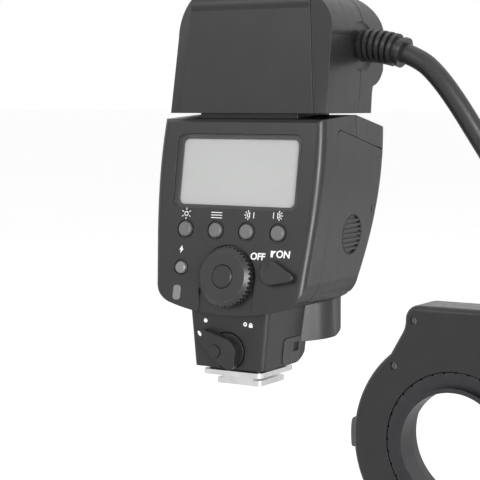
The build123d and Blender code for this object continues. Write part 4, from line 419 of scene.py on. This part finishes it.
panel_sine = math.sin(math.radians(PANEL_LEAN))
panel_cosine = math.cos(math.radians(PANEL_LEAN))
panel_turn = Matrix(((1, 0, 0), (0, panel_sine, -panel_cosine), (0, panel_cosine, panel_sine)))
panel_place = Matrix.Translation((0, PANEL_Y * MM, PANEL_Z * MM)) @ panel_turn.to_4x4()
neck_turn = Matrix(((1, 0, 0), (0, 0, -1), (0, 1, 0)))
neck_place = Matrix.Translation((0, NECK_Y * MM, 0)) @ neck_turn.to_4x4()
lever_place = Matrix.Translation((0, -LEVER_RISE * MM, 0)) @ neck_place


def mesh_of(name, shape):
    """A bmesh turned into mesh data, and freed."""
    data = bpy.data.meshes.new(name)
    shape.to_mesh(data)
    shape.free()
    return data


def add_piece(name, data, look, body):
    data.materials.clear()
    data.materials.append(looks[look])
    made = linked(name, data)
    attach(made, body)


# Outlines on a plane, as rings of (x, y) in millimetres, with angles in degrees
def polar(x, y, radius, angle):
    """A point on a circle about (x, y)."""
    return x + radius * math.cos(math.radians(angle)), y + radius * math.sin(math.radians(angle))


def spaced(start, end, count):
    """Even steps from start to end, both included."""
    return [start + (end - start) * i / count for i in range(count + 1)]


def disc(x, y, radius, wide=1.0, turn=0.0, count=28):
    """An ellipse, stretched wide times along the direction turn."""
    cosine = math.cos(math.radians(turn))
    sine = math.sin(math.radians(turn))
    points = []
    for angle in spaced(0, 360, count)[:-1]:
        along, across = polar(0, 0, radius, angle)
        along *= wide
        points.append((x + along * cosine - across * sine, y + along * sine + across * cosine))
    return points


def bar(x, y, length, thick, turn=0.0):
    """A rectangle about (x, y), with its length along the direction turn."""
    angle = math.radians(turn)
    along = (math.cos(angle) * length / 2, math.sin(angle) * length / 2)
    across = (-math.sin(angle) * thick / 2, math.cos(angle) * thick / 2)
    signs = ((-1, -1), (1, -1), (1, 1), (-1, 1))
    return [(x + s * along[0] + t * across[0], y + s * along[1] + t * across[1]) for s, t in signs]


def arc(x, y, radius, thick, start, end, count):
    """A curved stroke, cut into short pieces so that every outline is convex."""
    inner, outer = radius - thick / 2, radius + thick / 2
    angles = spaced(start, end, count)
    return [
        [polar(x, y, inner, a), polar(x, y, outer, a), polar(x, y, outer, b), polar(x, y, inner, b)]
        for a, b in zip(angles, angles[1:])
    ]


def rays(x, y, inner, outer, thick, angles):
    """Straight strokes that point away from (x, y)."""
    return [bar(*polar(x, y, (inner + outer) / 2, a), outer - inner, thick, a) for a in angles]


# White print on the control panel and the neck
PRINT_THICK = 0.06
PRINT_SINK = 0.03
CAPITAL_SHARE = 0.7
LETTER_BOLD = 0.09
LETTER_LEAN = 0.06


def slab(name, outlines, place, body, look="print", low=-PRINT_SINK, high=PRINT_THICK):
    """Thin raised shapes on the plane of place, one for each outline."""
    shape = bmesh.new()
    for outline in outlines:
        under = [shape.verts.new((x * MM, y * MM, low * MM)) for x, y in outline]
        over = [shape.verts.new((x * MM, y * MM, high * MM)) for x, y in outline]
        shape.faces.new(under[::-1])
        shape.faces.new(over)
        for i in range(len(outline)):
            j = (i + 1) % len(outline)
            shape.faces.new((under[i], under[j], over[j], over[i]))
    bmesh.ops.recalc_face_normals(shape, faces=shape.faces)
    data = mesh_of(name, shape)
    data.transform(place)
    add_piece(name, data, look, body)


def word(name, text, x, y, height, place, body):
    """White letters centred on (x, y) of the plane of place."""
    font = bpy.data.curves.new(name, "FONT")
    font.body = text
    font.size = height * MM / CAPITAL_SHARE
    font.align_x = "CENTER"
    font.align_y = "CENTER"
    font.extrude = (PRINT_THICK + PRINT_SINK) * MM / 2
    font.offset = LETTER_BOLD * MM
    font.shear = LETTER_LEAN
    letters = bpy.data.objects.new(name, font)
    data = bpy.data.meshes.new_from_object(letters)
    bpy.data.objects.remove(letters)
    lift = (PRINT_THICK - PRINT_SINK) * MM / 2
    data.transform(place @ Matrix.Translation((x * MM, y * MM, lift)))
    add_piece(name, data, "print", body)


word("print_off", "OFF", 12.0, 21.9, 2.4, panel_place, "flash_unit")
word("print_on", "ON", 22.3, 23.1, 2.5, panel_place, "flash_unit")
corner_mark = [(17.3, 22.0), (18.2, 22.0), (18.3, 23.2), (19.6, 24.3), (17.3, 24.3)]
slab("print_switch_corner", [corner_mark], panel_place, "flash_unit")

# Generic signs above the keys, in the places of printed words
STROKE = 0.26
LAMP_SIGN = (-19.7, 36.2)
LIST_SIGN = (-6.6, 36.1)
LIST_STEP = 0.95
TUBE_SIGNS = (("left", 6.9, 36.6, 180), ("right", 19.2, 36.8, 0))
TUBE_SHIFT = 0.35

lamp_sign = arc(*LAMP_SIGN, 0.75, STROKE, 0, 360, 16)
lamp_sign += rays(*LAMP_SIGN, 1.35, 2.1, STROKE, range(30, 390, 60))
slab("print_lamp", lamp_sign, panel_place, "flash_unit")
list_x, list_y = LIST_SIGN
list_sign = [bar(list_x, list_y + step, 4.6, STROKE) for step in (-LIST_STEP, 0.0, LIST_STEP)]
slab("print_list", list_sign, panel_place, "flash_unit")
for name, x, y, facing in TUBE_SIGNS:
    tube_sign = arc(x, y, 0.6, STROKE, facing - 90, facing + 90, 8)
    tube_sign += rays(x, y, 1.0, 1.8, STROKE, (facing + step for step in (-80, -40, 0, 40, 80)))
    shift = -TUBE_SHIFT if facing == 0 else TUBE_SHIFT
    tube_sign += [bar(x + steps * shift, y, 2.2, STROKE, 90) for steps in (1, 6)]
    slab("print_tube_" + name, tube_sign, panel_place, "flash_unit")
bolt_sign = [
    [(-20.3, 24.5), (-21.4, 22.8), (-20.3, 22.8)],
    [(-19.6, 23.2), (-20.7, 23.2), (-20.9, 21.6)],
    [(-20.3, 24.5), (-20.4, 22.8), (-20.0, 23.2)],
]
slab("print_ready", bolt_sign, panel_place, "flash_unit")

# Marks of the locking lever
slab("print_neck_dot", [disc(-9.6, 23.8, 0.75)], neck_place, "flash_unit")
slab("print_neck_ring", arc(7.2, 23.6, 0.55, 0.45, 0, 360, 20), neck_place, "flash_unit")
lock_sign = [bar(9.5, 23.1, 1.5, 1.1)] + arc(9.5, 23.6, 0.5, 0.3, 0, 180, 10)
slab("print_neck_lock", lock_sign, neck_place, "flash_unit")
slab("print_lever_tip", [disc(-9.9, 19.5, 0.55, wide=1.9, turn=125.0)], lever_place, "lock")

# Moulded pointer on the power lever, darkened as painted shade, and a painted shadow: a near-black
# sheet under the lever's rim, where only shade falls
POWER_X = 18.8
POWER_RISE = 16.3
POWER_TURN = -9.0
POWER_TOP = 2.6
POINTER_THICK = 0.14
POINTER_ANGLES = (112, 128)
PAINTED_SHADOW_LOW = 0.08
PAINTED_SHADOW_HIGH = 0.24
PAINTED_SHADOW_RADIUS = 4.65
PAINTED_SHADOW_TIP_RADIUS = 1.85
PAINTED_SHADOW_TIP_X = 7.9

power_place = (
    panel_place
    @ Matrix.Translation((POWER_X * MM, POWER_RISE * MM, 0))
    @ Matrix.Rotation(math.radians(POWER_TURN), 4, "Z")
)
# The pointer is a near-black strip on the lever's top: painted shade of its moulded recess
pointer = rays(0, 0, 1.9, 3.9, 0.3, POINTER_ANGLES)
slab("power_pointer", pointer, power_place, "power", "painted_groove_shade", POWER_TOP, POWER_TOP + POINTER_THICK)
# Painted shadow: a teardrop sheet a little wider than the lever, in the space between lever and panel
tangent = math.degrees(math.acos((PAINTED_SHADOW_RADIUS - PAINTED_SHADOW_TIP_RADIUS) / PAINTED_SHADOW_TIP_X))
painted_shadow_outline = [polar(0, 0, PAINTED_SHADOW_RADIUS, a) for a in spaced(tangent, 360 - tangent, 40)]
painted_shadow_outline += [polar(PAINTED_SHADOW_TIP_X, 0, PAINTED_SHADOW_TIP_RADIUS, a) for a in spaced(-tangent, tangent, 16)]
slab("power_painted_shadow", [painted_shadow_outline], power_place, "power", "painted_groove_shade", PAINTED_SHADOW_LOW, PAINTED_SHADOW_HIGH)


# Pieces that follow the battery door's skin
def door_point(start, aim, lift):
    """Where a ray meets the door, lifted off it against the ray; all in metres."""
    door = frame["nodes"]["battery_door"]
    inverse = door.matrix_world.inverted()
    found, place = door.ray_cast(inverse @ start, (inverse.to_3x3() @ aim).normalized())[:2]
    if not found:
        raise ValueError("a ray misses the battery door")
    return door.matrix_world @ place - aim * lift


def swept(name, sections, closed, body, look):
    """A solid through four-cornered sections, joined in a ring or capped at both ends."""
    shape = bmesh.new()
    rows = [[shape.verts.new(place) for place in section] for section in sections]
    for i in range(len(rows) if closed else len(rows) - 1):
        one, two = rows[i], rows[(i + 1) % len(rows)]
        for k in range(4):
            shape.faces.new((one[k], one[(k + 1) % 4], two[(k + 1) % 4], two[k]))
    if not closed:
        shape.faces.new(rows[0])
        shape.faces.new(rows[-1][::-1])
    bmesh.ops.recalc_face_normals(shape, faces=shape.faces)
    add_piece(name, mesh_of(name, shape), look, body)


# Painted shade round the door's grip: a near-black ring where the recess round the grip lies in shade
GRIP_Y = 16.22
GRIP_Z = 54.7
GRIP_RADIUS = 7.05
GRIP_SHADE_WIDTH = 0.45
GRIP_LIFTS = (-0.25, 0.05)
OUTSIDE_X = 60.0

bpy.context.view_layer.update()
sections = []
for angle in spaced(0, 360, 72)[:-1]:
    section = []
    for radius, lifts in ((GRIP_RADIUS, GRIP_LIFTS), (GRIP_RADIUS + GRIP_SHADE_WIDTH, GRIP_LIFTS[::-1])):
        start = MM * Vector((OUTSIDE_X, *polar(GRIP_Y, GRIP_Z, radius, angle)))
        section += [door_point(start, Vector((-1, 0, 0)), lift * MM) for lift in lifts]
    sections.append(section)
swept("door_grip_painted_shade", sections, True, "door", "painted_groove_shade")

# Caps over the slider's ears, flush with the door's skin
HINGE_X = 31.6
HINGE_OUT = -45.37
RAY_START = 8.0
CAP_SPANS = ((43.4, 46.0), (62.0, 64.6))
CAP_LIFTS = (-0.35, -0.02)
BESIDE_CAP = 0.1

for number, (low, high) in enumerate(CAP_SPANS, start=1):
    sections = []
    for angle in spaced(-42, 60, 24):
        across, deep = polar(0, 0, 1.0, angle)
        aim = panel_turn @ Vector((-across, 0, deep))
        section = []
        for rise, beside, lifts in ((low, -BESIDE_CAP, CAP_LIFTS), (high, BESIDE_CAP, CAP_LIFTS[::-1])):
            place = (HINGE_X + RAY_START * across, rise + beside, HINGE_OUT - RAY_START * deep)
            start = panel_place @ (MM * Vector(place))
            shift = panel_turn @ Vector((0, -beside * MM, 0))
            section += [door_point(start, aim, lift * MM) + shift for lift in lifts]
        sections.append(section)
    swept("door_ear_cap_%d" % number, sections, False, "door", "housing")

# Floor, backdrop and soft studio light
FLOOR_GAP = 0.0002
FLOOR_SIZE = 80.0
FLOOR_GLOW = 0.3
FLOOR_GREYS = ((0.88, 0.88, 0.88, 1), (0.9, 0.9, 0.9, 1))
FLOOR_CLOUD = 400.0
WHITE = (1, 1, 1, 1)
AMBIENT = 0.72
BACKGROUND = 1.0


def make_floor():
    shape = bmesh.new()
    bmesh.ops.create_grid(shape, x_segments=8, y_segments=8, size=FLOOR_SIZE / 2)
    data = mesh_of("floor", shape)
    floor = linked("floor", data)
    floor.location = (0, 0, cad_box[0][2] - FLOOR_GAP)
    made = Tree("floor")
    seen = made.add("ShaderNodeLightPath").outputs["Is Camera Ray"]
    look = made.finish(
        Base_Color=made.clouded(FLOOR_CLOUD, 2.0, *FLOOR_GREYS),
        Roughness=0.9,
        Emission_Color=WHITE,
        Emission_Strength=made.spread(seen, 0.0, FLOOR_GLOW, 0.0, 1.0),
    )
    data.materials.append(look)


def make_world():
    """White where the camera, a reflection or a clear cover sees it, and dimmer as a light."""
    world = bpy.data.worlds.new("studio")
    world.use_nodes = True
    bpy.context.scene.world = world
    tree = world.node_tree
    shade = next(n for n in tree.nodes if n.type == "BACKGROUND")
    path = tree.nodes.new("ShaderNodeLightPath")
    seen = path.outputs["Is Camera Ray"]
    for kind in ("Is Glossy Ray", "Is Transmission Ray"):
        highest = tree.nodes.new("ShaderNodeMath")
        highest.operation = "MAXIMUM"
        tree.links.new(seen, highest.inputs[0])
        tree.links.new(path.outputs[kind], highest.inputs[1])
        seen = highest.outputs[0]
    level = tree.nodes.new("ShaderNodeMapRange")
    tree.links.new(seen, level.inputs["Value"])
    level.inputs["To Min"].default_value = AMBIENT
    level.inputs["To Max"].default_value = BACKGROUND
    shade.inputs["Color"].default_value = WHITE
    tree.links.new(level.outputs["Result"], shade.inputs["Strength"])


def make_lamp(name, place, target, size, power):
    data = bpy.data.lights.new(name, "AREA")
    data.shape = "RECTANGLE"
    data.size, data.size_y = size
    data.energy = power
    lamp = linked(name, data)
    lamp.location = place
    aim = Vector(target) - Vector(place)
    lamp.rotation_euler = aim.to_track_quat("-Z", "Y").to_euler()


make_floor()
make_world()
middle = (0.0, 0.02, 0.06)
make_lamp("key", (-0.5, -1.2, 0.8), middle, size=(0.5, 0.5), power=3.0)
make_lamp("side", (1.05, -0.75, 0.2), middle, size=(0.4, 0.8), power=15.0)
make_lamp("low", (0.3, 0.24, -0.01), (0.03, 0.02, 0.03), size=(0.15, 0.08), power=0.1)
make_lamp("top", (0.1, 0.3, 1.4), middle, size=(1.2, 1.2), power=2.0)

bpy.context.scene.view_settings.view_transform = "Standard"
